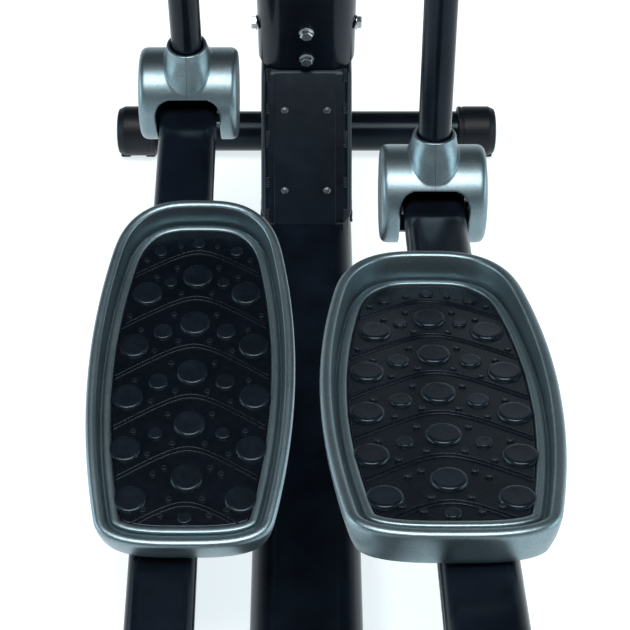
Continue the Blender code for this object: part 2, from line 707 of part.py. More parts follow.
def idler_centre():
    """The idler touches the back of the belt's upper run, nearer the flywheel."""
    normal = belt_tangent()
    start = Vector(CRANK) + normal * DRIVE_RADIUS
    end = Vector(FLYWHEEL) + normal * DRIVEN_RADIUS
    return start.lerp(end, 0.62) + normal * (GAP + BELT_THICK + IDLER_RADIUS + GAP)


def belt_loop(offset, grow=1.0):
    """Outline that runs this far outside both pulleys, with its corners moved out by the grow factor."""
    wheels = ((DRIVE_RADIUS, CRANK), (DRIVEN_RADIUS, FLYWHEEL))
    return hull([p for radius, centre in wheels
                 for p in circle((radius + offset) * grow, PULLEY_SIDES, centre)])


def drive_belt(rubber):
    """A flat belt. Its inner flats stay outside the circle through the pulley's corners as that turns."""
    back = belt_loop(GAP + BELT_THICK)
    front = belt_loop(GAP, 1 / math.cos(math.pi / PULLEY_SIDES))
    belt = add("drive_belt", prism(back, BELT_X - BELT_HALF, BELT_X + BELT_HALF), rubber)
    cut(belt, prism(front, BELT_X - 2 * BELT_HALF, BELT_X + 2 * BELT_HALF))


def drive_bracket(metal):
    """Two plates on a foot welded to the rail, with bearing bosses for both axles."""
    foot = RAIL_TOP + GAP
    outside = PLATE_X + BRACKET_WALL
    outline = hull([(-0.720, foot), (-0.385, foot)] + circle(0.030, 20, CRANK) + circle(0.024, 20, FLYWHEEL))
    bracket = add("drive_bracket", prism(outline, -outside, outside), metal)
    floor = RAIL_TOP + 0.006
    cut(bracket, prism([(-0.9, floor), (-0.2, floor), (-0.2, 0.6), (-0.9, 0.6)], -PLATE_X, PLATE_X))
    for side in (-1, 1):
        ends = sorted((side * (PLATE_X + 0.001), side * 0.0560))
        join_on(bracket, rod(0.0165, *ends, centre=CRANK))
    cut(bracket, rod(CRANK_AXLE + GAP, -0.1, 0.1, centre=CRANK))
    cut(bracket, rod(FLYWHEEL_AXLE + GAP, -0.1, 0.1, centre=FLYWHEEL))
    idler = tuple(idler_centre())
    arm = hull(circle(0.009, 12, idler) + circle(0.009, 12, (FLYWHEEL[0] + 0.02, FLYWHEEL[1] + 0.004)))
    join_on(bracket, prism(arm, PLATE_X + 0.0002, outside))
    cut(bracket, rod(IDLER_BOLT + GAP, 0.0, 0.06, centre=idler))


def flywheel_axle(zinc):
    add("flywheel_axle", rod(FLYWHEEL_AXLE, -0.054, 0.054, centre=FLYWHEEL), zinc)


def belt_idler(zinc, dark):
    centre = idler_centre()
    add("idler_bolt", rod(IDLER_BOLT, BELT_X - 0.012, 0.0540, centre=tuple(centre)), zinc)
    frame = axis_empty("idler_axis", (BELT_X, *centre))
    add("idler_pulley", turned(pulley_profile(IDLER_RADIUS, 0.0095, IDLER_BOLT + GAP), sides=20), dark, frame)


def brake_magnet(dark):
    """A curved shoe of magnets just outside the flywheel rim, on a pivot behind the wheel."""
    frame = axis_empty("brake_axis", (0, *BRAKE_PIVOT))
    inner = FLYWHEEL_RADIUS + 0.0015
    outer = inner + 0.0075
    arc = [math.radians(a) for a in BRAKE_ARC]
    rim = [(outer * math.cos(t), outer * math.sin(t)) for t in arc]
    rim += [(inner * math.cos(t), inner * math.sin(t)) for t in reversed(arc)]
    shift = Vector(FLYWHEEL) - Vector(BRAKE_PIVOT)
    outline = [(a + shift.x, b + shift.y) for a, b in rim]
    add("brake_magnet", prism(outline, FLYWHEEL_X[0] + 0.001, FLYWHEEL_X[1] - 0.001), dark, frame)


def housing(grey_black):
    outer = hull(circle(HOUSING_RADIUS, 40, CRANK) + circle(HOUSING_RADIUS, 40, FLYWHEEL))
    inlet_y, inlet_z = INLET
    for word, side in SIDES:
        ends = sorted((side * GAP / 2, side * HOUSING_HALF))
        shell = add("housing_" + word, prism(outer, *ends), grey_black)
        hollow = sorted((-side * 0.01, side * (HOUSING_HALF - TUBE_WALL)))
        cut(shell, prism(inset(outer, TUBE_WALL), *hollow))
        cut(shell, rod(AXLE_HOLE, -0.1, 0.1, centre=CRANK))
        plates = PLATE_X + BRACKET_WALL + GAP
        cut(shell, box((-plates, -0.724, RAIL_TOP - 0.016), (plates, -0.381, RAIL_TOP + 0.042)))
        if side > 0:
            cut(shell, rod(0.0062, inlet_y - 0.03, inlet_y + 0.03, "Y", (INLET_X, inlet_z), 20))


def power_inlet(dark):
    """A round low-voltage socket in the rear of the right housing half."""
    y, z = INLET
    profile = [(0.0028, y - 0.0045), (0.0075, y - 0.0045), (0.0075, y - 0.0030), (0.0058, y - 0.0030),
               (0.0058, y + 0.0120), (0.0028, y + 0.0120)]
    add("power_inlet", turned(profile, "Y", 20, (INLET_X, z)), dark)


# Handlebar and console
def fixed_handlebar(metal, plastic):
    lean = math.tan(math.radians(MAST_LEAN))
    rear_face = MAST_FOOT[0] - (BAR_FOOT - MAST_FOOT[1]) * lean - MAST_DEPTH / 2 / math.cos(math.radians(MAST_LEAN))
    y = rear_face - BAR_RADIUS - 0.005
    right = [(0.0, y, BAR_FOOT), (0.050, y, BAR_FOOT), (0.110, y - 0.012, BAR_FOOT + 0.010),
             (0.145, y - 0.055, BAR_FOOT + 0.035), (0.150, y - 0.105, BAR_FOOT + 0.062),
             (0.150, y - 0.225, BAR_FOOT + 0.126)]
    half = smooth_path(right, 3)
    whole = [Vector((-p.x, p.y, p.z)) for p in half[:0:-1]] + half
    bar = add("fixed_handlebar", piped(whole, BAR_RADIUS, sides=10), metal)
    join_on(bar, box((-0.030, y - 0.004, BAR_FOOT - 0.020), (0.030, rear_face - 0.006, BAR_FOOT + 0.020)))
    for word, side in SIDES:
        grip = [Vector((side * p.x, p.y, p.z)) for p in half[-4:]]
        grip[-1] += (grip[-1] - grip[-2]).normalized() * 0.003
        add("pulse_grip_" + word, piped(grip, PULSE_RADIUS, BAR_RADIUS + 2 * GAP, 12), plastic)


def console(plastic, dark, grey):
    width, height, depth = CONSOLE_SIZE
    frame = axis_empty("console_frame", (0, *CONSOLE_CENTRE), CONSOLE_PITCH)
    outline = rounded_box(width, height, CONSOLE_CORNER)
    seam = 0.006
    back = add("console_back", prism(outline, -depth / 2, seam, "Z"), plastic, frame)
    cut(back, prism(inset(outline, 0.0025), -depth / 2 + 0.003, depth, "Z"))
    front = add("console_front", prism(outline, seam + GAP, depth / 2, "Z"), plastic, frame)
    cut(front, prism(inset(outline, 0.0025), 0.0, depth / 2 - 0.003, "Z"))
    glass = rounded_box(DISPLAY[0], DISPLAY[1], 0.006, 3)
    cut(front, prism([(a, b + DISPLAY[2]) for a, b in glass], 0.0, depth, "Z"))
    for x in BUTTONS.values():
        cut(front, rod(BUTTON_RADIUS + 0.0005, 0.0, depth, "Z", (x, BUTTON_Y), 14))
    window = [(a, b + DISPLAY[2]) for a, b in inset(glass, GAP)]
    screen = add("console_display", prism(window, depth / 2 - 0.0035, depth / 2 - 0.0010, "Z"), dark, frame)
    flange = [(a, b + DISPLAY[2]) for a, b in rounded_box(DISPLAY[0] + 0.012, DISPLAY[1] + 0.012, 0.008, 3)]
    join_on(screen, prism(flange, depth / 2 - 0.0070, depth / 2 - 0.0033, "Z"))
    for word, x in BUTTONS.items():
        flange_radius = BUTTON_RADIUS + 0.003
        profile = [(0, -0.0125), (flange_radius, -0.0125), (flange_radius, -0.0055), (BUTTON_RADIUS, -0.0055),
                   (BUTTON_RADIUS, BUTTON_PROUD - 0.001), (BUTTON_RADIUS - 0.001, BUTTON_PROUD), (0, BUTTON_PROUD)]
        colour = grey if word == "start" else dark
        add("button_" + word, turned(profile, "Z", 14), colour, frame, (x, BUTTON_Y, depth / 2))


def main():
    for piece in list(bpy.data.objects):
        bpy.data.objects.remove(piece)
    enamel = finish("black_enamel", "0b0e13", 0.28)
    plastic = finish("black_plastic", "14181d", 0.5)
    grey = finish("metallic_grey_plastic", "6f8288", 0.32, 0.55)
    rubber = finish("black_rubber", "0d0f14", 0.6)
    foam = finish("black_foam", "15171b", 0.9)
    zinc = finish("zinc_plated_steel", "b4babd", 0.3, 1.0)
    iron = finish("cast_iron", "3b3f44", 0.5, 0.8)
    dark = finish("dark_plastic", "1c2126", 0.45)
    base(enamel, plastic, rubber)
    mast_socket(enamel)
    access_plate(enamel)
    mast(enamel)
    add("pivot_axle", rod(PIVOT_RADIUS, -PIVOT_HALF, PIVOT_HALF, centre=PIVOT), zinc)
    for word, side in SIDES:
        swing_frame = swing_side(word, side, enamel, grey, plastic, foam, zinc)
        pedal_side(word, side, swing_frame, enamel, grey, rubber, zinc)
    crank_set(enamel, zinc, dark)
    flywheel(iron)
    flywheel_axle(zinc)
    drive_belt(rubber)
    drive_bracket(enamel)
    belt_idler(zinc, dark)
    brake_magnet(dark)
    housing(plastic)
    power_inlet(dark)
    fixed_handlebar(enamel, plastic)
    console(plastic, dark, grey)


main()
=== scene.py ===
"""Looks of an elliptical trainer with a rear drive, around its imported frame.

Frame: +X to the rider's right, +Y forward to the console, +Z up. Lengths are metres.
"""

import json
import math

import bmesh
import bpy
from mathutils import Matrix, Vector


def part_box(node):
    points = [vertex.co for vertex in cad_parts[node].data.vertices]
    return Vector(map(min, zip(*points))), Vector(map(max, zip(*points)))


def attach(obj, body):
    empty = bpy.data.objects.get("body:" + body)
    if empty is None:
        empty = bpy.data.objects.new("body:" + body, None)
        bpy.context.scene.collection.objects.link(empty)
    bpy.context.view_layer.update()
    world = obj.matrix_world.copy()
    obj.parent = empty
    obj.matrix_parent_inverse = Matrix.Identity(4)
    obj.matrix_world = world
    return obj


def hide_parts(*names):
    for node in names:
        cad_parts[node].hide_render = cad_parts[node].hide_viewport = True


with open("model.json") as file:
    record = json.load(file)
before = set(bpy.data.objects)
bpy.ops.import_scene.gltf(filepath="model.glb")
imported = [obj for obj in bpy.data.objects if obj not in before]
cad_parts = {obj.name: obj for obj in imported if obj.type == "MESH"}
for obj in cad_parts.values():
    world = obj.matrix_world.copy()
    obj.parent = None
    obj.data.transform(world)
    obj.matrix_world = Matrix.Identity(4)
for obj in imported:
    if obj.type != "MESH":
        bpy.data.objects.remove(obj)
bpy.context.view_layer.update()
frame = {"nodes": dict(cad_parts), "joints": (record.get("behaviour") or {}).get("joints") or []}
scene = bpy.context.scene
joint_at = {joint["name"]: Vector(joint["pos_m"]) for joint in frame["joints"] if joint.get("pos_m")}
nodes = frame["nodes"]
SIDES = (("left", -1), ("right", 1))
SEAM = 0.0003                   # clearance that neighbouring pieces keep
RIGHT = Vector((1, 0, 0))

# Sizes that the frame's boxes don't give
MAST_LEAN = math.radians(15.06)
MAST_WIDTH = 0.108
MAST_DEPTH = 0.060
MAST_CORNER = 0.026
TUBE_WALL = 0.0025
RAIL_WALL = 0.003
RAIL_CORNER = 0.0245
TUBE_RADIUS = 0.016
BORE = 0.0103                   # in every hub on a 20 mm axle
HUB_RADIUS = 0.021
COVER_TOP = 0.0023              # outer face of the socket's cover, above the slope
BAR_HEIGHT = 1.190
BAR_RADIUS = 0.0127
SWING_RADIUS = (joint_at["swing_left_pivot"] - joint_at["link_left"]).length
DRUM_RADIUS = 0.049
DRUM_HALF = 0.052
DRUM_WALL = 0.003
CUT_TOP = math.radians(33)      # top edge of the drum's opening, above the rearward direction
CUT_HALF = 0.0335
PEDAL_LENGTH = 0.388
PEDAL_START = 0.195
PEDAL_HALF_WIDTH = 0.0942
PEDAL_INBOARD = 0.0205
RIM = 0.052                     # pedal rim above the arm's centre line
DECK = (0.027, 0.047)           # bed of the pedal above the arm at its toe and heel
ARM_WIDTH = 0.060
ARM_HEIGHT = 0.030
RIB_PITCH = 0.0585              # between the mat's chevrons
FIRST_RIB = 0.050
DOT_RADIUS = 0.0029             # of the mat's smallest studs
COVER_RADIUS = 0.135            # of the drive cover round each axle
COVER_WALL = 0.0025
COVER_FLAT = 0.0405             # where the drive cover's rim starts to turn in
CONSOLE_PITCH = math.radians(55)
CONSOLE_CENTRE = Vector((0, 0.318, 1.405))
CONSOLE_SIZE = (0.250, 0.165, 0.040)
SHELL_VOXEL = 0.0009


# Outlines and curves
def circle(radius, sides, centre=(0.0, 0.0)):
    turns = [math.tau * i / sides for i in range(sides)]
    return [Vector((centre[0] + radius * math.cos(t), centre[1] + radius * math.sin(t))) for t in turns]


def rounded_box(width, height, radius, steps=8, centre=(0.0, 0.0)):
    points = []
    for quarter in range(4):
        across = (width / 2 - radius) * (1 if quarter in (0, 3) else -1)
        upward = (height / 2 - radius) * (1 if quarter in (0, 1) else -1)
        for step in range(steps + 1):
            turn = math.radians(90 * (quarter + step / steps))
            points.append(Vector((centre[0] + across + radius * math.cos(turn),
                                  centre[1] + upward + radius * math.sin(turn))))
    return points


def rod(radius, low, high):
    """Profile of a plain cylinder, for turned()."""
    return [(0, low), (radius, low), (radius, high), (0, high)]


def hub(radius, low, high, reach=0.0012, bore=BORE):
    """Profile of a bored hub with softened edges, for turned()."""
    return soften([(bore, low), (radius, low), (radius, high), (bore, high)], reach, 3)


def hull(points):
    """Convex outline round the points, anticlockwise."""
    ordered = sorted({(round(p[0], 7), round(p[1], 7)) for p in points})

    def half(sequence):
        chain = []
        for p in sequence:
            while len(chain) > 1 and (
                (chain[-1][0] - chain[-2][0]) * (p[1] - chain[-2][1])
                - (chain[-1][1] - chain[-2][1]) * (p[0] - chain[-2][0])
            ) <= 1e-11:
                chain.pop()
            chain.append(p)
        return chain[:-1]

    return [Vector(p) for p in half(ordered) + half(ordered[::-1])]


def even(outline, count):
    """The closed outline with its points spaced evenly along it."""
    lengths = [(outline[(i + 1) % len(outline)] - p).length for i, p in enumerate(outline)]
    total = sum(lengths)
    points = []
    i = 0
    passed = 0.0
    for k in range(count):
        target = total * k / count
        while passed + lengths[i] < target:
            passed += lengths[i]
            i += 1
        share = (target - passed) / lengths[i]
        points.append(outline[i].lerp(outline[(i + 1) % len(outline)], share))
    return points


def inset(outline, distance):
    """The anticlockwise outline moved inwards, where its corners are rounder than the distance."""
    moved = []
    for i, point in enumerate(outline):
        along = (outline[(i + 1) % len(outline)] - outline[i - 1]).normalized()
        moved.append(point + Vector((-along.y, along.x)) * distance)
    return moved


def inset_corners(corners, distance):
    """A convex anticlockwise polygon with every side moved inwards."""
    moved = []
    for i, corner in enumerate(corners):
        before = (corner - corners[i - 1]).normalized()
        after = (corners[(i + 1) % len(corners)] - corner).normalized()
        bisector = Vector((-before.y - after.y, before.x + after.x)).normalized()
        moved.append(corner + bisector * distance / bisector.dot(Vector((-before.y, before.x))))
    return moved


def soften(points, reach, steps=4, closed=True):
    """The polyline with each corner turned into a curve that starts this far from it."""
    curve = []
    for i, point in enumerate(points):
        corner = Vector(point)
        if not closed and i in (0, len(points) - 1):
            curve.append(corner)
            continue
        before = Vector(points[i - 1]) - corner
        after = Vector(points[(i + 1) % len(points)]) - corner
        start = corner + before.normalized() * min(reach, before.length * 0.45)
        end = corner + after.normalized() * min(reach, after.length * 0.45)
        for step in range(steps + 1):
            t = step / steps
            curve.append(start * (1 - t) ** 2 + corner * 2 * t * (1 - t) + end * t ** 2)
    return curve


def smooth_path(points, steps=8):
    """A Catmull-Rom curve through the points."""
    knots = [Vector(p) for p in points]
    knots = [2 * knots[0] - knots[1]] + knots + [2 * knots[-1] - knots[-2]]
    path = []
    for a, b, c, d in zip(knots, knots[1:], knots[2:], knots[3:]):
        for step in range(steps):
            t = step / steps
            path.append(0.5 * (2 * b + (c - a) * t + (2 * a - 5 * b + 4 * c - d) * t ** 2
                               + (3 * b - a - 3 * c + d) * t ** 3))
    return path + [knots[-2]]


# Places
def basis(origin, x, y, z):
    """A place with these directions as its own axes."""
    place = Matrix((x, y, z)).transposed().to_4x4()
    place.translation = origin
    return place


ALONG_X = basis(Vector(), Vector((0, 1, 0)), Vector((0, 0, 1)), RIGHT)
ALONG_Y = basis(Vector(), Vector((0, 0, 1)), RIGHT, Vector((0, 1, 0)))


def at(x, y, z):
    return Matrix.Translation((x, y, z))


def turn_about(axis, angle):
    return Matrix.Rotation(angle, 4, axis)


def middle(node):
    low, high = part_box(node)
    return (low + high) / 2


def swing_place(word):
    """Origin on the pivot, Z up the swing arm."""
    pivot = joint_at["swing_" + word + "_pivot"]
    up = (pivot - joint_at["link_" + word]).normalized()
    return basis(pivot, RIGHT, up.cross(RIGHT), up)


def pedal_place(word):
    """Origin on the link joint, -Y back along the pedal arm."""
    joint = joint_at["link_" + word]
    forward = joint - middle("crank_pin_" + word)
    forward.x = 0
    forward.normalize()
    return basis(joint, RIGHT, forward, RIGHT.cross(forward))


def mast_place():
    """Origin at the mast's foot, Z up its centre line, Y to its front."""
    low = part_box("mast")[0]
    pivot = joint_at["swing_left_pivot"]
    up = Vector((0, -math.sin(MAST_LEAN), math.cos(MAST_LEAN)))
    height = low.z + MAST_DEPTH / 2 * math.sin(MAST_LEAN)
    foot = Vector((0, pivot.y, pivot.z)) - up * ((pivot.z - height) / up.z)
    return basis(foot, RIGHT, RIGHT.cross(up) * -1, up)


def console_place():
    return Matrix.Translation(CONSOLE_CENTRE) @ turn_about("X", CONSOLE_PITCH)


def facing(origin, out, turn=0.0):
    """A place at the origin with Z along the outward direction."""
    out = out.normalized()
    side = RIGHT if abs(out.x) < 0.9 else Vector((0, 1, 0))
    x = (side - out * side.dot(out)).normalized()
    return basis(origin, x, out.cross(x), out) @ turn_about("Z", turn)


# Meshes
def skin(rings, place=Matrix(), wrap=False, caps=True, mesh=None):
    """Faces through rings of as many points each. A ring of one point is a pole."""
    mesh = bmesh.new() if mesh is None else mesh
    rows = [[mesh.verts.new(place @ Vector(p)) for p in ring] for ring in rings]
    for low, high in list(zip(rows, rows[1:])) + ([(rows[-1], rows[0])] if wrap else []):
        count = max(len(low), len(high))
        for i in range(count):
            j = (i + 1) % count
            if len(low) == 1:
                mesh.faces.new((low[0], high[j], high[i]))
            elif len(high) == 1:
                mesh.faces.new((low[i], low[j], high[0]))
            else:
                mesh.faces.new((low[i], low[j], high[j], high[i]))
    if caps and not wrap:
        for row in (rows[0][::-1], rows[-1]):
            if len(row) > 2:
                mesh.faces.new(row)
    return mesh


def layers(outline, section, shrink=inset, shift=0.0):
    """A ring of the outline at each (distance inwards, level). A level may depend on the ring's Y."""
    return [[(p.x + shift, p.y, level(p.y) if callable(level) else level) for p in shrink(outline, depth)]
            for depth, level in section]


def turned(profile, sides=64, place=Matrix(), mesh=None, way=1):
    """The (radius, level) profile turned about the place's Z: a solid from pole to pole, or a ring."""
    rings = []
    for radius, level in profile:
        outline = circle(radius, sides) if radius > 1e-6 else [Vector((0, 0))]
        rings.append([(p.x, p.y, way * level) for p in outline])
    return skin(rings, place, wrap=profile[0][0] > 1e-6, caps=False, mesh=mesh)


def slab(outline, low, high, edge, place=Matrix(), steps=4, mesh=None, shrink=inset):
    """A plate with rounded edges, its outline drawn in by shrink() where they turn."""
    arc = [math.radians(90 * k / steps) for k in range(steps + 1)]
    turn = [(edge * (1 - math.sin(t)), edge * (1 - math.cos(t))) for t in arc]
    section = [(depth, low + rise) for depth, rise in turn]
    section += [(depth, high - rise) for depth, rise in turn[::-1]]
    return skin(layers(outline, section, shrink), place, mesh=mesh)


def block(place, *size):
    """A plain box, for cutting."""
    mesh = bmesh.new()
    bmesh.ops.create_cube(mesh, size=1.0, matrix=place @ Matrix.Diagonal((*size, 1)))
    return mesh


def swept(path, radius, sides, bore=0.0):
    """A solid bar along a path, or a tube with eased ends where it has a bore."""
    across = (path[1] - path[0]).orthogonal().normalized()
    stations = []
    for i, point in enumerate(path):
        along = (path[min(i + 1, len(path) - 1)] - path[max(i - 1, 0)]).normalized()
        across = (across - along * across.dot(along)).normalized()
        stations.append((point, across, along.cross(across), along))

    def ring(station, size, shift=0.0):
        point, one, other, along = station
        return [point + along * shift + one * p.x + other * p.y for p in circle(size, sides)]

    outer = [ring(station, radius) for station in stations]
    if not bore:
        return skin(outer)
    ease = min(0.002, (radius - bore) * 0.45)
    outer = [ring(stations[0], radius - ease, -ease)] + outer + [ring(stations[-1], radius - ease, ease)]
    return skin(outer + [ring(station, bore) for station in stations[::-1]], wrap=True)


def plain(mesh):
    """Mesh data from a bmesh, its faces turned outwards."""
    bmesh.ops.recalc_face_normals(mesh, faces=mesh.faces)
    data = bpy.data.meshes.new("plain")
    mesh.to_mesh(data)
    mesh.free()
    return data


def lend(data, name="lender"):
    """An object that only lends its shape to a modifier."""
    lender = bpy.data.objects.new(name, data)
    scene.collection.objects.link(lender)
    return lender


def evaluated(lender):
    graph = bpy.context.evaluated_depsgraph_get()
    result = bpy.data.meshes.new_from_object(lender.evaluated_get(graph))
    bpy.data.objects.remove(lender)
    return result


def piece(name, mesh, finish, body, node="", place=Matrix(), crease=32):
    """A finished piece from a bmesh, riding on its body, in place of the CAD node that it stands for."""
    mesh.transform(place)
    return settle(name, plain(mesh), finish, body, node, crease)


def settle(name, data, finish, body, node="", crease=32):
    data.materials.clear()
    data.materials.append(finish)
    data.shade_smooth()
    data.set_sharp_from_angle(angle=math.radians(crease))
    lender = lend(data)
    lender.modifiers.new("flatten", "WEIGHTED_NORMAL").keep_sharp = True
    shaded = evaluated(lender)
    bpy.data.meshes.remove(data)
    shaded.name = name
    made = lend(shaded, name)
    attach(made, body)
    if node:
        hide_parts(node)
    return made


def carved(mesh, steps, voxel=0.0, rounds=4):
    """The bmesh after each (operation, bmesh) step, then remeshed and softened where a voxel is given."""
    lender = lend(plain(mesh))
    tools = []
    for operation, tool in steps:
        tools.append(lend(plain(tool)))
        modifier = lender.modifiers.new("carve", "BOOLEAN")
        modifier.operation = operation
        modifier.object = tools[-1]
    if voxel:
        modifier = lender.modifiers.new("mould", "REMESH")
        modifier.mode = "VOXEL"
        modifier.voxel_size = voxel
        modifier = lender.modifiers.new("soften", "SMOOTH")
        modifier.factor = 0.5
        modifier.iterations = rounds
    data = evaluated(lender)
    for tool in tools:
        bpy.data.objects.remove(tool)
    result = bmesh.new()
    result.from_mesh(data)
    bpy.data.meshes.remove(data)
    return result


# Repeated small pieces
def linear(code):
    """Linear colour of an sRGB hex code."""
    channels = [int(code[i:i + 2], 16) / 255 for i in (0, 2, 4)]
    curve = [c / 12.92 if c <= 0.04045 else ((c + 0.055) / 1.055) ** 2.4 for c in channels]
    return (*curve, 1.0)


def add_node(tree, kind, inputs=None, stops=(), **settings):
    """One node with its settings and a ramp's (position, hex code) stops. An input gets a value or a link."""
    made = tree.nodes.new(kind)
    for key, value in settings.items():
        setattr(made, key, value)
    for i, (position, code) in enumerate(stops):
        made.color_ramp.elements[i].position = position
        made.color_ramp.elements[i].color = linear(code)
    for key, value in (inputs or {}).items():
        if isinstance(value, bpy.types.NodeSocket):
            tree.links.new(value, made.inputs[key])
        else:
            made.inputs[key].default_value = value
    return made


def scatter_tree():
    """Puts a pattern on every point, turned by the point's aim and scaled by its size."""
    tree = bpy.data.node_groups.new("scatter", "GeometryNodeTree")
    for name, kind in (("Places", "NodeSocketGeometry"), ("Pattern", "NodeSocketObject"),
                       ("Scale", "NodeSocketFloat"), ("Finish", "NodeSocketMaterial")):
        tree.interface.new_socket(name, in_out="INPUT", socket_type=kind)
    tree.interface.new_socket("Geometry", in_out="OUTPUT", socket_type="NodeSocketGeometry")
    given = add_node(tree, "NodeGroupInput").outputs
    lent = add_node(tree, "GeometryNodeObjectInfo", {"Object": given["Pattern"]})
    aim, size = [add_node(tree, "GeometryNodeInputNamedAttribute", {"Name": name}, data_type="FLOAT_VECTOR")
                 .outputs["Attribute"] for name in ("aim", "size")]
    grown = add_node(tree, "ShaderNodeVectorMath", {0: size, "Scale": given["Scale"]}, operation="SCALE")
    turn = add_node(tree, "FunctionNodeEulerToRotation", {0: aim})
    placed = add_node(tree, "GeometryNodeInstanceOnPoints", {
        "Points": given["Places"], "Instance": lent.outputs["Geometry"],
        "Rotation": turn.outputs[0], "Scale": grown.outputs["Vector"]})
    real = add_node(tree, "GeometryNodeRealizeInstances", {0: placed.outputs[0]})
    dressed = add_node(tree, "GeometryNodeSetMaterial", {"Geometry": real.outputs[0],
                                                         "Material": given["Finish"]})
    add_node(tree, "NodeGroupOutput", {0: dressed.outputs[0]})
    return tree


def scatter(name, places, pattern, finish, body, crease=32):
    """One piece made of the pattern at every (matrix, size) place. Size is a number or three."""
    lender = lend(plain(pattern))
    data = bpy.data.meshes.new(name)
    data.from_pydata([place.translation for place, size in places], [], [])
    aims, sizes = [data.attributes.new(kind, "FLOAT_VECTOR", "POINT") for kind in ("aim", "size")]
    for i, (place, size) in enumerate(places):
        aims.data[i].vector = place.to_euler()
        sizes.data[i].vector = size if hasattr(size, "__len__") else (size, size, size)
    host = lend(data)
    modifier = host.modifiers.new("scatter", "NODES")
    modifier.node_group = SCATTER
    inputs = {item.name: item.identifier for item in SCATTER.interface.items_tree if item.in_out == "INPUT"}
    modifier[inputs["Pattern"]] = lender
    modifier[inputs["Scale"]] = 1.0
    modifier[inputs["Finish"]] = finish
    result = evaluated(host)
    bpy.data.objects.remove(lender)
    for kind in ("aim", "size"):
        if kind in result.attributes:
            result.attributes.remove(result.attributes[kind])
    return settle(name, result, finish, body, crease=crease)


# Materials
TEXTURES = {"noise": ("ShaderNodeTexNoise", "Fac", {}), "cells": ("ShaderNodeTexVoronoi", "Distance", {}),
            "flakes": ("ShaderNodeTexVoronoi", "Color", {}),
            "rings": ("ShaderNodeTexWave", "Fac", {"wave_type": "RINGS", "rings_direction": "X"})}


def surface(name, slot, roughness, metallic, tones, shine=None, relief=(), mapping=None, **sockets):
    """A material with patterns on the piece's own coordinates. The slot argument is not used.

    A pattern is (texture, size in millimetres), and for noise its detail and perhaps its roughness.
    tones: (pattern, two hex codes, perhaps where the change starts and ends). A second one is mixed in by half.
    shine: (pattern, least roughness, greatest).
    relief: (pattern, depth in millimetres, strength) of each layer of bumps, the lowest first.
    mapping: how a texture whose name begins with "mapped" is moved or stretched.
    """
    material = bpy.data.materials.new(name)
    material.use_nodes = True
    tree = material.node_tree
    shader = tree.nodes["Principled BSDF"].inputs
    for socket, value in {"Roughness": roughness, "Metallic": metallic, **sockets}.items():
        shader[socket.replace("_", " ")].default_value = linear(value) if isinstance(value, str) else value
    place = add_node(tree, "ShaderNodeTexCoord").outputs["Object"]
    moved = place
    if mapping:
        moved = add_node(tree, "ShaderNodeMapping", {"Vector": place, **mapping}).outputs["Vector"]
    outputs = {}

    def read(pattern):
        """The pattern's output, from one node however often it is used."""
        if pattern not in outputs:
            texture, size, *grain = pattern
            kind, output, settings = TEXTURES[texture.removeprefix("mapped ")]
            inputs = {"Vector": moved if texture.startswith("mapped ") else place, "Scale": 1000 / size}
            if kind == "ShaderNodeTexNoise":
                inputs.update(zip(("Detail", "Roughness"), (*grain, 0.5)))
            elif kind == "ShaderNodeTexWave":
                inputs.update({"Scale": 1000 / size / math.tau, "Distortion": 0.3})
            outputs[pattern] = add_node(tree, kind, inputs, **settings).outputs[output]
        return outputs[pattern]

    colours = [add_node(tree, "ShaderNodeValToRGB", {"Fac": read(pattern)},
                        zip(span or (0.35, 0.65), (low, high))).outputs["Color"]
               for pattern, low, high, *span in tones]
    if len(colours) > 1:
        mixed = add_node(tree, "ShaderNodeMix", {0: 0.5, 6: colours[1], 7: colours[0]}, data_type="RGBA")
        colours = [mixed.outputs[2]]
    tree.links.new(colours[0], shader["Base Color"])
    if shine:
        pattern, low, high = shine
        spread = add_node(tree, "ShaderNodeMapRange", {"Value": read(pattern), "To Min": low, "To Max": high})
        tree.links.new(spread.outputs["Result"], shader["Roughness"])
    below = {}
    for pattern, depth, strength in relief:
        bump = add_node(tree, "ShaderNodeBump", {"Height": read(pattern), "Distance": depth / 1000,
                                                 "Strength": strength, **below})
        below = {"Normal": bump.outputs["Normal"]}
    if below:
        tree.links.new(below["Normal"], shader["Normal"])
    return material


def moulded_rubber(name, low, high, roughness, gloss=0.16):
    return surface(name, "rubber", roughness, 0.0, [(("noise", 28, 4, 0.6), low, high)],
                   (("noise", 7, 4), roughness - 0.06, roughness + 0.06), [(("noise", 0.9, 3), 0.03, 0.35)],
                   Specular_IOR_Level=gloss, Specular_Tint="b4ccd8")


def key_moulding(name, slot, low, high):
    return surface(name, slot, 0.42, 0.0, [(("noise", 6, 3), low, high)], (("noise", 2, 3), 0.36, 0.48),
                   [(("noise", 0.6, 2), 0.01, 0.5)])


SCATTER = scatter_tree()
# Moulded ABS sprayed with silver-grey metallic lacquer: soft broad highlights with a fine flake sparkle.
# Real flakes are 0.05 mm: they are drawn coarser so that they show.
LACQUER = surface("lacquered_moulding", "grey_plastic", 0.36, 0.92,
                  [(("flakes", 0.9), "6a7d84", "87999f", 0.2, 0.8), (("noise", 60, 2), "778a91", "8a9ca3")],
                  (("noise", 9, 4), 0.32, 0.42), [(("noise", 4, 1), 0.006, 0.4), (("flakes", 0.9), 0.002, 0.5)])
# Steel tube in glossy black powder enamel: a deep blue-black with a slight orange peel.
ENAMEL = surface("powder_enamel", "enamel", 0.2, 0.0, [(("noise", 45, 3), "0a0e15", "10161f")],
                 (("noise", 14, 5, 0.6), 0.16, 0.28),
                 [(("noise", 2.2, 1), 0.025, 0.45), (("noise", 30, 1), 0.15, 0.3)],
                 Specular_IOR_Level=0.22, Specular_Tint="c4dce6")
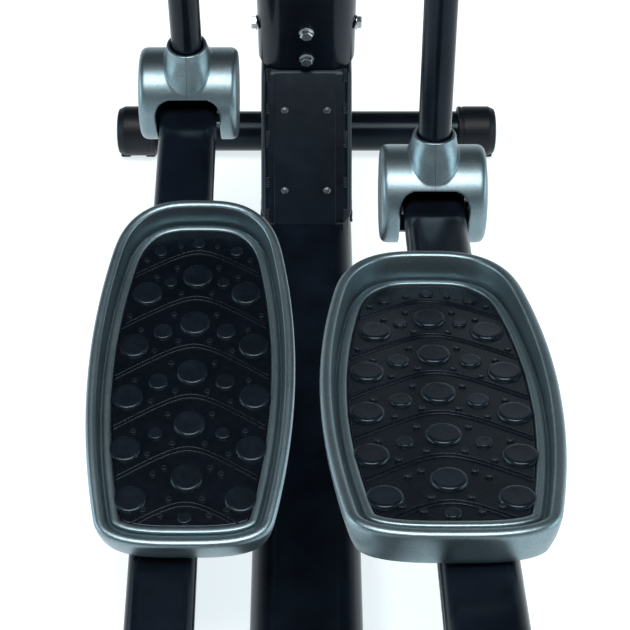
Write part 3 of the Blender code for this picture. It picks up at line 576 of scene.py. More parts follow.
# Black polypropylene with a spark-eroded grain: a dull, even sheen broken by pits 1 mm apart.
GRAINED = surface("grained_polypropylene", "black_plastic", 0.45, 0.0, [(("noise", 35, 3), "0b0f14", "13181f")],
                  (("noise", 6, 4), 0.36, 0.52), [(("cells", 1.1), 0.05, 0.6), (("noise", 0.8, 2), 0.03, 0.5)],
                  Specular_IOR_Level=0.22)
# Dark grey moulded nylon, smooth from the tool: a clean low sheen on the pulleys, brake and inlet.
SATIN = surface("satin_nylon", "dark_plastic", 0.38, 0.0, [(("noise", 20, 3), "181c21", "22272d")],
                (("noise", 4, 4), 0.32, 0.44), [(("noise", 1.6, 2), 0.02, 0.5)])
# Compression-moulded rubber: near black, with a dull bloom and a fine sandy tooth.
MAT_RUBBER = moulded_rubber("mat_rubber", "050910", "090d15", 0.27, 0.45)
# The studs are the mat's rubber with a lighter base colour: a painted sheen for the light off their glossier
# tops. Their higher specular level also gives them a real reflection.
STUD_RUBBER_PAINTED_SHEEN = moulded_rubber("stud_rubber_painted_sheen", "0b1016", "121820", 0.27, 0.6)
TYRE_RUBBER = moulded_rubber("tyre_rubber", "101215", "1b1e22", 0.6)
# Closed-cell nitrile foam: matt charcoal, with open pores 1 to 2 mm wide in its skin.
FOAM = surface("nitrile_foam", "foam", 0.85, 0.0, [(("cells", 1.6), "0c0e11", "1f2226", 0.05, 0.45)],
               (("noise", 5, 3), 0.78, 0.95), [(("cells", 1.6), 0.25, 0.7)],
               Sheen_Weight=0.2, Sheen_Roughness=0.6)
# Zinc-plated steel: a bright cool grey metal with faint rolling marks and dulled patches.
ZINC = surface("zinc_plate", "zinc_steel", 0.26, 1.0, [(("noise", 8, 4), "b3babe", "d4d9dc")],
               (("noise", 3, 4), 0.2, 0.38), [(("noise", 0.7, 2), 0.01, 0.5)])
# Stainless sheet brushed along its length: stretched bright streaks 0.5 mm apart.
STAINLESS = surface("brushed_stainless", "zinc_steel", 0.28, 1.0,
                    [(("mapped noise", 0.5, 2), "aeb4b8", "cfd4d7")],
                    (("mapped noise", 0.5, 2), 0.22, 0.38), [(("mapped noise", 0.5, 2), 0.01, 0.6)],
                    {"Scale": (1.0, 0.06, 0.06)})
# Cast iron turned in a lathe: grey metal with fine rings round its axle.
IRON = surface("turned_cast_iron", "cast_iron", 0.4, 0.9, [(("noise", 15, 4), "4a4e53", "61666b")],
               (("mapped rings", 1.2), 0.3, 0.46), [(("mapped rings", 1.2), 0.02, 0.6)],
               {"Location": -middle("flywheel")})
# Clear acrylic over a grey-green liquid crystal: a flat dull green under a sharp gloss.
LENS = surface("acrylic_lens", "display_lens", 0.35, 0.0, [(("noise", 50, 2), "55614f", "606c59")],
               (("noise", 10, 3), 0.3, 0.4), [(("noise", 20, 1), 0.02, 0.2)],
               Coat_Weight=0.5, Coat_Roughness=0.03)
# The dark segments of a liquid crystal: flat near-black ink seen through the glass.
CRYSTAL = surface("liquid_crystal", "display_lens", 0.25, 0.0, [(("noise", 4, 2), "0c0f0c", "141914")],
                  Coat_Weight=1.0, Coat_Roughness=0.03)
# Moulded silicone-coated keys: an even colour with a soft satin sheen.
DARK_KEY = key_moulding("dark_key", "dark_plastic", "1d2126", "282d33")
START_KEY = key_moulding("start_key", "grey_plastic", "6f7f86", "8494a0")
# Screws in black-passivated zinc: a dark steel glint from the head's edge and recess.
SCREW_STEEL = surface("black_zinc", "zinc_steel", 0.3, 0.9, [(("noise", 4, 4), "4b5157", "6d747a")],
                      (("noise", 2, 4), 0.24, 0.4), [(("noise", 0.7, 2), 0.01, 0.5)])
# Weld bead under the enamel: rounder and glossier than the sheet, with spatter pits.
WELD = surface("enamelled_weld", "enamel", 0.18, 0.0, [(("noise", 5, 3), "0d1117", "161b23")],
               (("noise", 3, 4), 0.12, 0.26), [(("noise", 1.5, 3), 0.1, 0.6)], Specular_IOR_Level=0.3)
# Seamless white paper: an even pale ground that the light falls off on only faintly.
PAPER = surface("white_paper", "", 0.8, 0.0, [(("noise", 400, 2), "c6cacc", "cccfd1")], Emission_Strength=0.78,
                Emission_Color="f0f8fb", Specular_IOR_Level=0.0)


# Base
def stabilizers():
    for end in ("front", "rear"):
        node = end + "_stabilizer"
        low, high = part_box(node)
        centre = middle(node)
        radius = (high.z - low.z) / 2
        bore = radius - TUBE_WALL
        profile = soften([(radius, low.x), (radius, high.x), (bore, high.x), (bore, low.x)], 0.0008, 2)
        piece(node + "_tube", turned(profile, 96, at(0, centre.y, centre.z) @ ALONG_X), ENAMEL, "frame", node)


def stabilizer_caps():
    """Push-on caps: a stepped collar, a domed end, two foot ridges and, in front, the roller's notch."""
    radius = 0.031
    for end in ("front", "rear"):
        y = middle(end + "_stabilizer").y
        for word, side in SIDES:
            node = end + "_cap_" + word
            outer = max(abs(corner.x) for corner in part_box(node))
            inner = outer - 0.048
            profile = soften([(0.0215, inner + 0.004), (0.0253, inner + 0.004), (0.0253, inner),
                              (0.0296, inner), (radius, inner + 0.0014), (radius, inner + 0.0045),
                              (radius - 0.0008, inner + 0.0052), (radius - 0.0008, inner + 0.0066),
                              (radius, inner + 0.0073), (radius, outer - 0.009),
                              (radius - 0.0035, outer - 0.0015), (radius - 0.0085, outer),
                              (radius * 0.55, outer), (radius * 0.52, outer - 0.0012)], 0.0012, 3, False)
            profile = [(0, inner + 0.004), *profile, (0, outer - 0.0012)]
            steps = []
            for near, far in ((0.002, 0.015), (0.033, 0.046)):
                ends = sorted((side * (inner + near), side * (inner + far)))
                foot = rounded_box(ends[1] - ends[0], 0.028, 0.003, 5, ((ends[0] + ends[1]) / 2, y))
                steps.append(("UNION", slab(foot, 0.0, 0.006, 0.0008)))
            if end == "front":
                place = Matrix.Translation(joint_at["roller_" + word + "_spin"]) @ ALONG_X
                steps += [("DIFFERENCE", turned(rod(0.015, -0.0085, 0.0085), 48, place)),
                          ("UNION", turned(rod(0.003, -0.012, 0.012), 24, place))]
            shell = carved(turned(profile, 96, at(0, y, radius) @ ALONG_X, way=side), steps)
            piece(node.replace("cap", "stabilizer_cap"), shell, GRAINED, "frame", node, crease=28)


def transport_rollers():
    """Rollers with a raised hub on each face and three fine grooves in the tread."""
    for word, _ in SIDES:
        node = "transport_roller_" + word
        low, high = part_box(node)
        radius = (high.z - low.z) / 2
        half = (high.x - low.x) / 2
        face = [(0.0033, -half), (0.006, -half), (0.0075, -half + 0.0012), (0.010, -half + 0.0012),
                (radius - 0.0012, -half), (radius, -half + 0.0012)]
        grooves = []
        for level in (-0.0036, 0.0, 0.0036):
            grooves += [(radius, level - 0.0008), (radius - 0.0007, level), (radius, level + 0.0008)]
        profile = face + grooves + [(r, -level) for r, level in face[::-1]]
        place = Matrix.Translation(joint_at["roller_" + word + "_spin"]) @ ALONG_X
        piece("roller_" + word, turned(profile, 64, place), TYRE_RUBBER, "roller_" + word, node)


def main_rail():
    """Flat-oval tube with a push-in plug at each end."""
    low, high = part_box("main_rail")
    level = (low.z + high.z) / 2
    outline = rounded_box(high.x - low.x, high.z - low.z, RAIL_CORNER, 16)
    eased = inset(outline, 0.0006)
    bore = inset(outline, RAIL_WALL)
    rings = [[(p.x, y, p.y) for p in ring]
             for ring, y in ((eased, low.y), (outline, low.y + 0.0006), (outline, high.y - 0.0006),
                             (eased, high.y), (bore, high.y), (bore, low.y))]
    piece("rail_tube", skin(rings, at(0, 0, level), wrap=True), ENAMEL, "frame", "main_rail")
    plug = [Vector((p.y, p.x)) for p in outline][::-1]
    dish = inset(plug, 0.010)
    for word, y, turn in (("front", high.y, 0.0), ("rear", low.y, math.pi)):
        mesh = slab(plug, SEAM, 0.0035, 0.0016, shrink=lambda o, d: inset(o, d + SEAM))
        slab(plug, -0.018, 0.0001, 0.001, mesh=mesh, shrink=lambda o, d: inset(o, d + 0.0035))
        for rim in (0.0, 0.006):
            section = ((rim, 0.0033), (rim + 0.0003, 0.0042), (rim + 0.0013, 0.0042), (rim + 0.0016, 0.0033))
            skin(layers(dish, section), wrap=True, mesh=mesh)
        place = at(0, y, level) @ turn_about("Z", turn) @ ALONG_Y
        piece("rail_plug_" + word, mesh, GRAINED, "frame", place=place)


# Mast
def socket_corners():
    """The socket's side view, anticlockwise from its heel on the rail."""
    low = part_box("mast_socket")[0]
    place = mast_place()
    front, up = place.col[1].to_3d(), place.col[2].to_3d()
    rear_top = place.translation - front * MAST_DEPTH / 2 - up * SEAM
    front_top = place.translation + front * (MAST_DEPTH / 2 + 0.004) - up * SEAM
    return [Vector((low.y, low.z)), Vector((0.752, low.z)), Vector((front_top.y, front_top.z)),
            Vector((rear_top.y, rear_top.z))]


def slope_ends():
    corners = socket_corners()
    return Vector((0, *corners[0])), Vector((0, *corners[3]))


def slope_place():
    """Middle of the socket's sloping rear face, X to the right, Y up the slope, Z out of it."""
    low, high = slope_ends()
    along = (high - low).normalized()
    return basis((low + high) / 2, RIGHT, along, RIGHT.cross(along))


def mast_and_socket():
    low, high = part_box("mast_socket")
    mesh = slab(socket_corners(), low.x, high.x, 0.009, ALONG_X, 6,
                shrink=lambda corners, d: soften(inset_corners(corners, d), 0.006, 5))
    piece("mast_socket_box", mesh, ENAMEL, "frame", "mast_socket", crease=40)
    place = mast_place()
    outline = rounded_box(MAST_WIDTH, MAST_DEPTH, MAST_CORNER, 14)
    console = console_place()
    normal = console.col[2].to_3d()
    under = console @ Vector((0, 0, -CONSOLE_SIZE[2] / 2 - SEAM))
    up = place.col[2].to_3d()

    def cut_level(p):
        return (under - place @ Vector((p.x, p.y, 0))).dot(normal) / up.dot(normal)

    bore = inset(outline, TUBE_WALL)
    rings = [[(p.x, p.y, 0.0) for p in inset(outline, 0.0007)], [(p.x, p.y, 0.0007) for p in outline],
             [(p.x, p.y, cut_level(p)) for p in outline], [(p.x, p.y, cut_level(p)) for p in bore],
             [(p.x, p.y, 0.0) for p in bore]]
    mesh = skin(rings, place, wrap=True)
    pivot = joint_at["swing_left_pivot"]
    boss_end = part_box("mast")[1].x
    for side in (-1, 1):
        turned(hub(HUB_RADIUS, side * 0.050, side * boss_end), 64, at(0, pivot.y, pivot.z) @ ALONG_X, mesh)
    piece("mast_tube", mesh, ENAMEL, "frame", "mast")
    cover = rounded_box(0.069, 0.170, 0.002, 4, (-0.0015, -0.0030))
    piece("socket_cover", slab(cover, SEAM, COVER_TOP, 0.0010, slope_place()), ENAMEL, "frame", "access_plate")


# Fasteners
def pan_head():
    """A cross-recess pan head, 1 across, on its washer face."""
    profile = soften([(0.5, 0.0), (0.5, 0.12), (0.40, 0.27), (0.18, 0.34)], 0.08, 3, False)
    slots = [("DIFFERENCE", block(at(0, 0, 0.28) @ turn_about("Z", math.radians(turn)), 0.46, 0.10, 0.26))
             for turn in (0, 90)]
    return carved(turned([(0, 0), *profile, (0, 0.35)], 32), slots)


def hex_bolt():
    """A hexagon head with a chamfered crown on a washer, 1 across the washer."""
    mesh = turned(soften([(0.25, 0), (0.5, 0), (0.5, 0.09), (0.25, 0.09)], 0.03, 2), 40)
    flat = 0.38                 # 13 mm across the flats of an M8 head, on a 17 mm washer
    head = circle(flat / math.cos(math.radians(30)), 6)
    return skin([[(p.x * share, p.y * share, level) for p in head]
                 for share, level in ((1, 0.09), (1, 0.34), (0.86, 0.40), (0.5, 0.405))], mesh=mesh)


def weld_scale():
    """One ripple of a weld bead, 1 wide, lying across the bead's run along X."""
    mesh = bmesh.new()
    bmesh.ops.create_uvsphere(mesh, u_segments=12, v_segments=6, radius=0.5)
    mesh.transform(Matrix.Diagonal((0.55, 1.0, 0.62, 1)))
    return mesh


def bead(path, out, width=0.006, step=0.0021):
    """Places for the ripples of a weld along a path, facing out."""
    places = []
    spare = 0.0
    for start, end in zip(path, path[1:]):
        run = (end - start)
        along = run.normalized()
        travelled = spare
        while travelled < run.length:
            centre = start + along * travelled
            normal = out(centre) if callable(out) else out
            side = normal.cross(along).normalized()
            wobble = 1 + 0.10 * math.sin(37 * len(places))
            places.append((basis(centre, along, side, along.cross(side)), width * wobble))
            travelled += step
        spare = travelled - run.length
    return places


def frame_fasteners():
    slope = slope_place()
    cover_screws = [(slope @ at(x, y, COVER_TOP) @ turn_about("Z", turn), 0.0088)
                    for x, y, turn in ((-0.0243, 0.0405, 0.3), (0.0229, 0.0405, 0.9), (-0.0243, -0.0492, 1.2),
                                       (0.0229, -0.0492, 0.5))]
    scatter("cover_screws", cover_screws, pan_head(), SCREW_STEEL, "frame")
    place = mast_place()
    back = -place.col[1].to_3d()
    bar_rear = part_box("fixed_handlebar")[1].y - 0.0335
    bolts = [(facing(place @ Vector((0, -MAST_DEPTH / 2, height)), back, turn), 0.0165)
             for height, turn in ((0.062, 0.2), (0.0186, 0.7))]
    bolts += [(facing(place @ Vector((side * MAST_WIDTH / 2, -0.008, 0.054)), RIGHT * side, 0.4), 0.0165)
              for side in (-1, 1)]
    bolts += [(facing(Vector((side * 0.020, bar_rear, BAR_HEIGHT)), back, 0.3), 0.0125) for side in (-1, 1)]
    scatter("mast_bolts", bolts, hex_bolt(), ZINC, "frame")


def weld_beads():
    """Welds of the socket along the rail, stitches up its slope, and rings round the stabilizers."""
    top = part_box("main_rail")[1].z
    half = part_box("mast_socket")[1].x
    corners = socket_corners()
    heel, tip = slope_ends()
    places = []
    for side in (-1, 1):
        edge = side * (half - 0.001)
        places += bead([Vector((edge, corners[0].x + 0.006, top)), Vector((edge, corners[1].x - 0.006, top))],
                       Vector((side, 0, 0.6)), 0.005)
        for start, end in ((0.02, 0.10), (0.24, 0.30), (0.50, 0.60), (0.72, 0.78), (0.93, 1.0)):
            stitch = [heel.lerp(tip, t) + RIGHT * side * (half - 0.0085) for t in (start, end)]
            places += bead(stitch, Vector((side * 0.3, -1, 1)), 0.0055, 0.0024)
    places += bead([Vector((-half + 0.01, corners[0].x, top)), Vector((half - 0.01, corners[0].x, top))],
                   Vector((0, -1, 0.8)), 0.005)
    radius = 0.025 + 0.0010     # a stabilizer tube, and how far its weld's root stands off
    for end, wall in (("front", half + 0.0012), ("rear", 0.0455)):
        centre = middle(end + "_stabilizer")
        y, z = centre.y, centre.z
        for side in (-1, 1):
            arc = [Vector((side * wall, y + radius * math.sin(t), z + radius * math.cos(t)))
                   for t in (math.radians(a) for a in range(-96, 97, 6))]
            places += bead(arc, lambda p, y=y, z=z, side=side: Vector((side * 0.02, p.y - y, p.z - z)),
                           0.0075, 0.0026)
    scatter("weld_beads", places, weld_scale(), WELD, "frame", 60)


# Swing arms
def handle_path(side):
    """Upper handle in the swing arm's place: out past the console, then up and back."""
    points = [(0, 0, 0.1215), (0, 0, 0.150), (0.030, 0.002, 0.195), (0.082, 0.008, 0.265),
              (0.108, 0.010, 0.340), (0.114, 0.0, 0.430), (0.112, -0.030, 0.520), (0.106, -0.062, 0.575)]
    return smooth_path([(side * x, y, z) for x, y, z in points])


def swing_arms():
    """Tube with its hub and the yoke at its foot, then the hub's cap, the handle, its foam and its plug."""
    bottom = -SWING_RADIUS + 0.034
    tube = soften([(0, bottom), (TUBE_RADIUS, bottom), (TUBE_RADIUS, 0.119), (0.0135, 0.119), (0.0135, 0.1185),
                   (0, 0.1185)], 0.0008, 2, False)
    cheek = hull(circle(0.0165, 48, (0, -SWING_RADIUS)) + [(-0.0155, bottom), (0.0155, bottom)])
    cap = soften([(0, 0.0263), (0.026, 0.0263), (0.026, 0.0303), (0.0235, 0.0345), (0.015, 0.0372),
                  (0.0135, 0.0366), (0.012, 0.0376), (0, 0.0383)], 0.0012, 4, False)
    button = soften([(0, -0.004), (0.0150, -0.004), (0.0150, 0.0022), (0.0190, 0.0024), (0.0190, 0.0040),
                     (0.0120, 0.0062), (0, 0.0066)], 0.001, 3, False)
    for word, side in SIDES:
        place = swing_place(word)
        body = "swing_" + word
        mesh = turned(tube)
        turned(hub(0.024, -0.026, 0.026, 0.0015), 72, ALONG_X, mesh)
        slab(rounded_box(0.086, 0.035, 0.004), bottom - 0.005, bottom + 0.004, 0.001, mesh=mesh)
        for x in (-0.0425, 0.0355):
            slab(cheek, x, x + 0.007, 0.0008, ALONG_X, mesh=mesh)
        piece("swing_tube_" + word, mesh, ENAMEL, body, "swing_arm_" + word, place)
        piece("hub_cap_" + word, turned(cap, 72, ALONG_X, way=side), GRAINED, body, "pivot_cap_" + word, place)
        path = handle_path(side)
        mesh = turned(rod(0.0132, 0.045, 0.125), 40, mesh=swept(path[:-1], TUBE_RADIUS, 40))
        piece("handle_tube_" + word, mesh, ENAMEL, body, "upper_handle_" + word, place)
        grip = swept(path[-25:], 0.0205, 48, TUBE_RADIUS + 0.0004)
        sleeve = piece("foam_grip_" + word, grip, FOAM, body, "handle_grip_" + word, place, 50)
        aim = (path[-1] - path[-2]).normalized()
        mesh = turned(button, 48, facing(path[-1] + aim * 0.0005, aim))
        piece("handle_plug_" + word, mesh, GRAINED, body, place=place)


def collar_ring(width, depth, level, power):
    """A ring of the collar: a circle for a power of 2, and squarer for more."""
    return [(width * math.copysign(abs(p.x) ** (2 / power), p.x),
             depth * math.copysign(abs(p.y) ** (2 / power), p.y), level) for p in circle(1.0, 96)]


def shroud_shell():
    """Moulded shell round a link joint: a drum with a collar running up the swing tube."""
    foot = -SWING_RADIUS
    centre = at(0, 0, foot) @ ALONG_X
    drum = turned(soften(rod(DRUM_RADIUS, -DRUM_HALF, DRUM_HALF), 0.0085, 6, False), 160, centre)
    stations = ((0.0200, 0.0275, 0.0422, 3.0), (0.0315, 0.0266, 0.0375, 3.0), (0.0396, 0.0256, 0.0342, 3.0),
                (0.0448, 0.0250, 0.0321, 2.9), (0.0500, 0.0243, 0.0298, 2.7), (0.0570, 0.0230, 0.0262, 2.3),
                (0.0630, 0.0218, 0.0230, 2.1), (0.0670, 0.0213, 0.0216, 2.0), (0.0688, 0.0205, 0.0208, 2.0))
    collar = skin([collar_ring(width, depth, foot + level, power) for level, width, depth, power in stations])
    inside = turned(rod(DRUM_RADIUS - DRUM_WALL, DRUM_WALL - DRUM_HALF, DRUM_HALF - DRUM_WALL), 96, centre)
    bore = turned(rod(TUBE_RADIUS + 0.0016, foot, foot + 0.1))
    top = DRUM_RADIUS * math.sin(CUT_TOP)
    window = rounded_box(2 * CUT_HALF, 0.20, 0.016, 10, (0, top - 0.10))
    opening = skin([[(p.x, y, foot + p.y) for p in window] for y in (-0.09, 0.004)])
    steps = [("UNION", collar), ("DIFFERENCE", inside), ("DIFFERENCE", bore), ("DIFFERENCE", opening)]
    return carved(drum, steps, SHELL_VOXEL, 5)


def shrouds():
    whole = shroud_shell()
    reach = 0.2                 # of the box that takes away the other half
    for way in (-1, 1):
        beyond = block(at(-way * (reach / 2 - SEAM / 2), 0, -SWING_RADIUS), reach, reach, reach)
        shell = carved(whole.copy(), [("DIFFERENCE", beyond)])
        for word, side in SIDES:
            name = ("outer_" if way == side else "inner_") + word
            piece("link_shroud_" + name, shell.copy(), LACQUER, "swing_" + word, "shroud_" + name,
                  swing_place(word), 60)
        shell.free()
    whole.free()


# Pedals
def half_width(along):
    """Half the foot plate's width this far behind its toe: a round nose, bulged sides and a squarer heel."""
    bulge = PEDAL_HALF_WIDTH - 0.68 * (along - 0.205) ** 2
    front = (1 - max(0.0, 1 - along / 0.070) ** 3) ** (1 / 3)
    rear = (1 - max(0.0, 1 - (PEDAL_LENGTH - along) / 0.030) ** 3) ** (1 / 3)
    return bulge * front * rear


def pedal_outline(steps=72):
    right = []
    for k in range(steps + 1):
        along = PEDAL_LENGTH * (0.5 - 0.5 * math.cos(math.pi * k / steps))
        right.append(Vector((half_width(along), -PEDAL_START - along)))
    sides = right[1:-1]
    return [right[0]] + [Vector((-p.x, p.y)) for p in sides] + [right[-1]] + sides[::-1]


def deck_height(y):
    return DECK[0] + (DECK[1] - DECK[0]) * ((-y - PEDAL_START) / PEDAL_LENGTH)


def above_deck(rise):
    """A level that follows the deck, for layers()."""
    return lambda y: deck_height(y) + rise


def pedal_arms():
    """Flat tubes, drawn down under the shroud, with a sleeve at each end and the crank's bolt."""
    stations = ((0.0, 0.0095), (-0.0448, 0.0095), (-0.050, 0.0100), (-0.056, 0.0112), (-0.066, 0.0136),
                (-0.074, 0.0146), (-0.082, ARM_HEIGHT / 2))
    for word, side in SIDES:
        place = pedal_place(word)
        length = (joint_at["link_" + word] - middle("crank_pin_" + word)).yz.length
        rings = []
        for y, half in (*stations, (-length, ARM_HEIGHT / 2)):
            outline = rounded_box(ARM_WIDTH, 2 * half, min(0.0130, half * 0.94), 12)
            rings.append([(p.x, y, p.y) for p in outline])
        mesh = skin(rings)
        for y, end in ((0.0, ARM_WIDTH / 2 + 0.001), (-length, ARM_WIDTH / 2 + 0.003)):
            turned(hub(HUB_RADIUS, -end, end), 64, at(0, y, 0) @ ALONG_X, mesh)
        piece("pedal_beam_" + word, mesh, ENAMEL, "pedal_" + word, "pedal_arm_" + word, place)
        inner, outer = sorted(abs(corner.x) - abs(joint_at["link_" + word].x)
                              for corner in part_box("crank_pin_" + word))
        pin = soften([(0, inner), (0.010, inner), (0.010, outer - 0.0045), (0.015, outer - 0.0045),
                      (0.015, outer - 0.0008), (0.0138, outer), (0.006, outer), (0.0052, outer - 0.0035),
                      (0, outer - 0.0035)], 0.0006, 3, False)
        piece("crank_bolt_" + word, turned(pin, 48, at(0, -length, 0) @ ALONG_X, way=side), ZINC,
              "pedal_" + word, "crank_pin_" + word, place)


def tray_section():
    """From below: a flaring skirt, a rounded rim, a deep wall, a groove and a raised lip round the mat."""
    skirt = ((0.0092, 0.0205), (0.0078, 0.0200), (0.0065, 0.0206), (0.0042, 0.0270), (0.0022, 0.0340),
             (0.0008, 0.0410), (0.0002, 0.0455), (0.0, 0.0476), (0.0004, 0.0494), (0.0014, 0.0508),
             (0.0030, 0.0517), (0.0050, RIM), (0.0070, 0.0517), (0.0086, 0.0508), (0.0096, 0.0494))
    bed = ((0.0116, 0.0), (0.0122, -0.0030), (0.0132, -0.0034), (0.0140, -0.0028), (0.0146, 0.0002),
           (0.0152, 0.0014), (0.0164, 0.0020), (0.0186, 0.0021), (0.0204, 0.0018), (0.0214, 0.0010),
           (0.0218, -0.0003), (0.0220, -0.0045), (0.0300, -0.0045))
    under = [(depth, above_deck(rise))
             for depth, rise in ((0.024, -0.0085), (0.0135, -0.0085), (0.0125, -0.0080))]
    wall = [(0.0104, lambda y: 0.0470 + (deck_height(y) - 0.0470) * 0.3)]
    return under + list(skirt) + wall + [(depth, above_deck(rise)) for depth, rise in bed]


def pedal_trays():
    """Moulded tray with two long ribs and the cross ribs that fit under its deck."""
    outline = pedal_outline()
    for word, side in SIDES:
        shift = -side * PEDAL_INBOARD
        rings = [[(x, y, min(z, RIM)) for x, y, z in ring]
                 for ring in layers(outline, tray_section(), shift=shift)]
        mesh = skin(rings)
        ribs = [(rounded_box(0.003, 0.290, 0.0012, 3, (x, -PEDAL_START - 0.205)), 0.0153)
                for x in (-0.022, 0.022)]
        for along in (0.10, 0.165, 0.23, 0.295, 0.345):
            y = -PEDAL_START - along
            if deck_height(y) - 0.0085 > 0.0225:
                width = 2 * (half_width(along) - 0.015)
                ribs.append((rounded_box(width, 0.0024, 0.0010, 3, (shift, y)), 0.0215))
        for rib, foot in ribs:
            skin(layers(rib, ((0, foot), (0, above_deck(-0.0070)))), mesh=mesh)
        piece("foot_tray_" + word, mesh, LACQUER, "pedal_" + word, "pedal_tray_" + word, pedal_place(word), 50)


def chevron(x):
    """How far back a chevron falls at this distance from the pedal's centre line."""
    return 0.70 * (math.sqrt(x * x + 0.02 ** 2) - 0.02)


def mat_half_width(along):
    return half_width(max(along, 0.0)) - 0.0235


def mat_studs():
    """(across, along, radius) of every round stud on the mat."""
    studs = [(0, 0.0394, 0.006)]
    for mirror in (-1, 1):
        studs += [(mirror * 0.037, 0.0500, 0.006), (mirror * 0.018, 0.0435, DOT_RADIUS),
                  (mirror * 0.050, 0.0610, DOT_RADIUS)]
    # Between two chevrons: how far out the large and the small studs and the outermost dots stand
    bands = ((0.047, 0.0252, 0.0060, 0.039, 0.062), (0.0555, 0.0295, 0.0090, 0.050, 0.069),
             (0.0575, 0.0305, 0.0090, 0.052, 0.070), (0.0560, 0.0300, 0.0065, 0.050, 0.068),
             (0.0480, 0.0, 0.0, 0.030, 0.062))
    for band, (wide, between, small, high_dot, low_dot) in enumerate(bands):
        base = FIRST_RIB + RIB_PITCH * band
        studs.append((0, base + 0.0315, 0.0140))
        for mirror in (-1, 1):
            studs.append((mirror * wide, base + 0.0315 + chevron(wide), 0.0138))
            if small:
                studs.append((mirror * between, base + 0.0310 + chevron(between), small))
            for x, fall in ((0.0200, 0.0150), (high_dot, 0.0160), (0.0145, 0.0500), (0.0360, 0.0500),
                            (low_dot, 0.0495)):
                if band or x != 0.0360:
                    studs.append((mirror * x, base + fall + chevron(x), DOT_RADIUS))
    base = FIRST_RIB + RIB_PITCH * len(bands)
    studs += [(0, base + 0.0145, 0.0060), (-0.021, base + 0.0120, DOT_RADIUS),
              (0.021, base + 0.0120, DOT_RADIUS)]
    last = PEDAL_LENGTH - 0.0245
    return [(x, s, radius) for x, s, radius in studs
            if s + radius < last and (radius > 0.003 or abs(x) < mat_half_width(s) - 0.003)]


def stud_pattern():
    """A low round stud of radius 1 with a rolled edge."""
    return turned([(0, -0.4), (1.06, -0.4), (1.04, 0.1), (1.0, 0.45), (0.97, 0.74), (0.91, 0.93), (0.82, 1.0),
                   (0.74, 0.97), (0, 0.95)], 40)


def rib_rings(base, shift):
    """Rings along one line of a chevron that starts this far behind the toe."""
    path = []
    for k in range(-36, 37):
        x = 0.0022 * k
        s = base + chevron(x)
        if abs(x) < mat_half_width(s) and s < PEDAL_LENGTH - 0.026:
            path.append(Vector((x, s)))
    rings = []
    for i, (x, s) in enumerate(path):
        run = (path[min(i + 1, len(path) - 1)] - path[max(i - 1, 0)]).normalized()
        ring = []
        for across, lift in ((-0.0012, -0.0006), (-0.0008, 0.0007), (-0.0003, 0.0010), (0.0003, 0.0010),
                             (0.0008, 0.0007), (0.0012, -0.0006)):
            y = -PEDAL_START - (s + run.x * across)
            ring.append((x - run.y * across + shift, y, deck_height(y) - 0.0002 + lift))
        rings.append(ring)
    return rings


def pedal_mats():
    outline = pedal_outline()
    tilt = turn_about("X", -math.atan((DECK[1] - DECK[0]) / PEDAL_LENGTH))
    section = [(depth, above_deck(rise)) for depth, rise in
               ((0.0226, -0.0042), (0.0224, -0.0012), (0.0230, -0.0004), (0.0242, -0.0002))]
    for word, side in SIDES:
        shift = -side * PEDAL_INBOARD
        place = pedal_place(word)
        body = "pedal_" + word
        mesh = skin(layers(outline, section, shift=shift))
        for band in range(6):
            for offset in (-0.0021, 0.0021):
                skin(rib_rings(FIRST_RIB + RIB_PITCH * band + offset, shift), mesh=mesh)
        piece("foot_mat_" + word, mesh, MAT_RUBBER, body, "pedal_mat_" + word, place, 50)
        studs = []
        for x, s, radius in mat_studs():
            y = -PEDAL_START - s
            studs.append((place @ at(x + shift, y, deck_height(y) - 0.0002) @ tilt,
                          (radius, radius, 0.0016 + 0.07 * radius)))
        scatter("mat_studs_" + word, studs, stud_pattern(), STUD_RUBBER_PAINTED_SHEEN, body, 60)
        bolts = [(place @ at(x, -PEDAL_START - s, -ARM_HEIGHT / 2) @ turn_about("X", math.pi), 0.0125)
                 for s in (0.09, 0.30) for x in (-0.016, 0.016)]
        scatter("tray_bolts_" + word, bolts, hex_bolt(), ZINC, body)


# Drive
def cranks():
    axle = joint_at["crank_spin"]
    cap = soften([(0, 0.0), (0.0125, 0.0), (0.0125, 0.0012), (0.0100, 0.0024), (0, 0.0028)], 0.0008, 3, False)
    for word, side in SIDES:
        pin = middle("crank_pin_" + word)
        low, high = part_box("crank_arm_" + word)
        outline = hull(circle(0.020, 64) + circle(0.016, 64, Vector((pin.y - axle.y, pin.z - axle.z))))
        mesh = slab(outline, low.x, high.x, 0.0025, at(0, axle.y, axle.z) @ ALONG_X, 5)
        piece("crank_lever_" + word, mesh, ENAMEL, "crank", "crank_arm_" + word)
        place = at(side * (max(abs(low.x), abs(high.x)) + 0.0001), axle.y, axle.z) @ ALONG_X
        piece("crank_cap_" + word, turned(cap, 48, place, way=side), GRAINED, "crank")


def cover_outline(distance, count):
    """Outline of the drive cover round both axles, moved inwards, as evenly spaced points."""
    ends = [circle(COVER_RADIUS - distance, 120, (joint_at[name].y, joint_at[name].z))
            for name in ("crank_spin", "flywheel_spin")]
    return even(hull(ends[0] + ends[1]), count)


def side_rings(outline, levels):
    """Rings of a (Y, Z) outline at each X."""
    return [[(x, p.x, p.y) for p in outline] for x in levels]


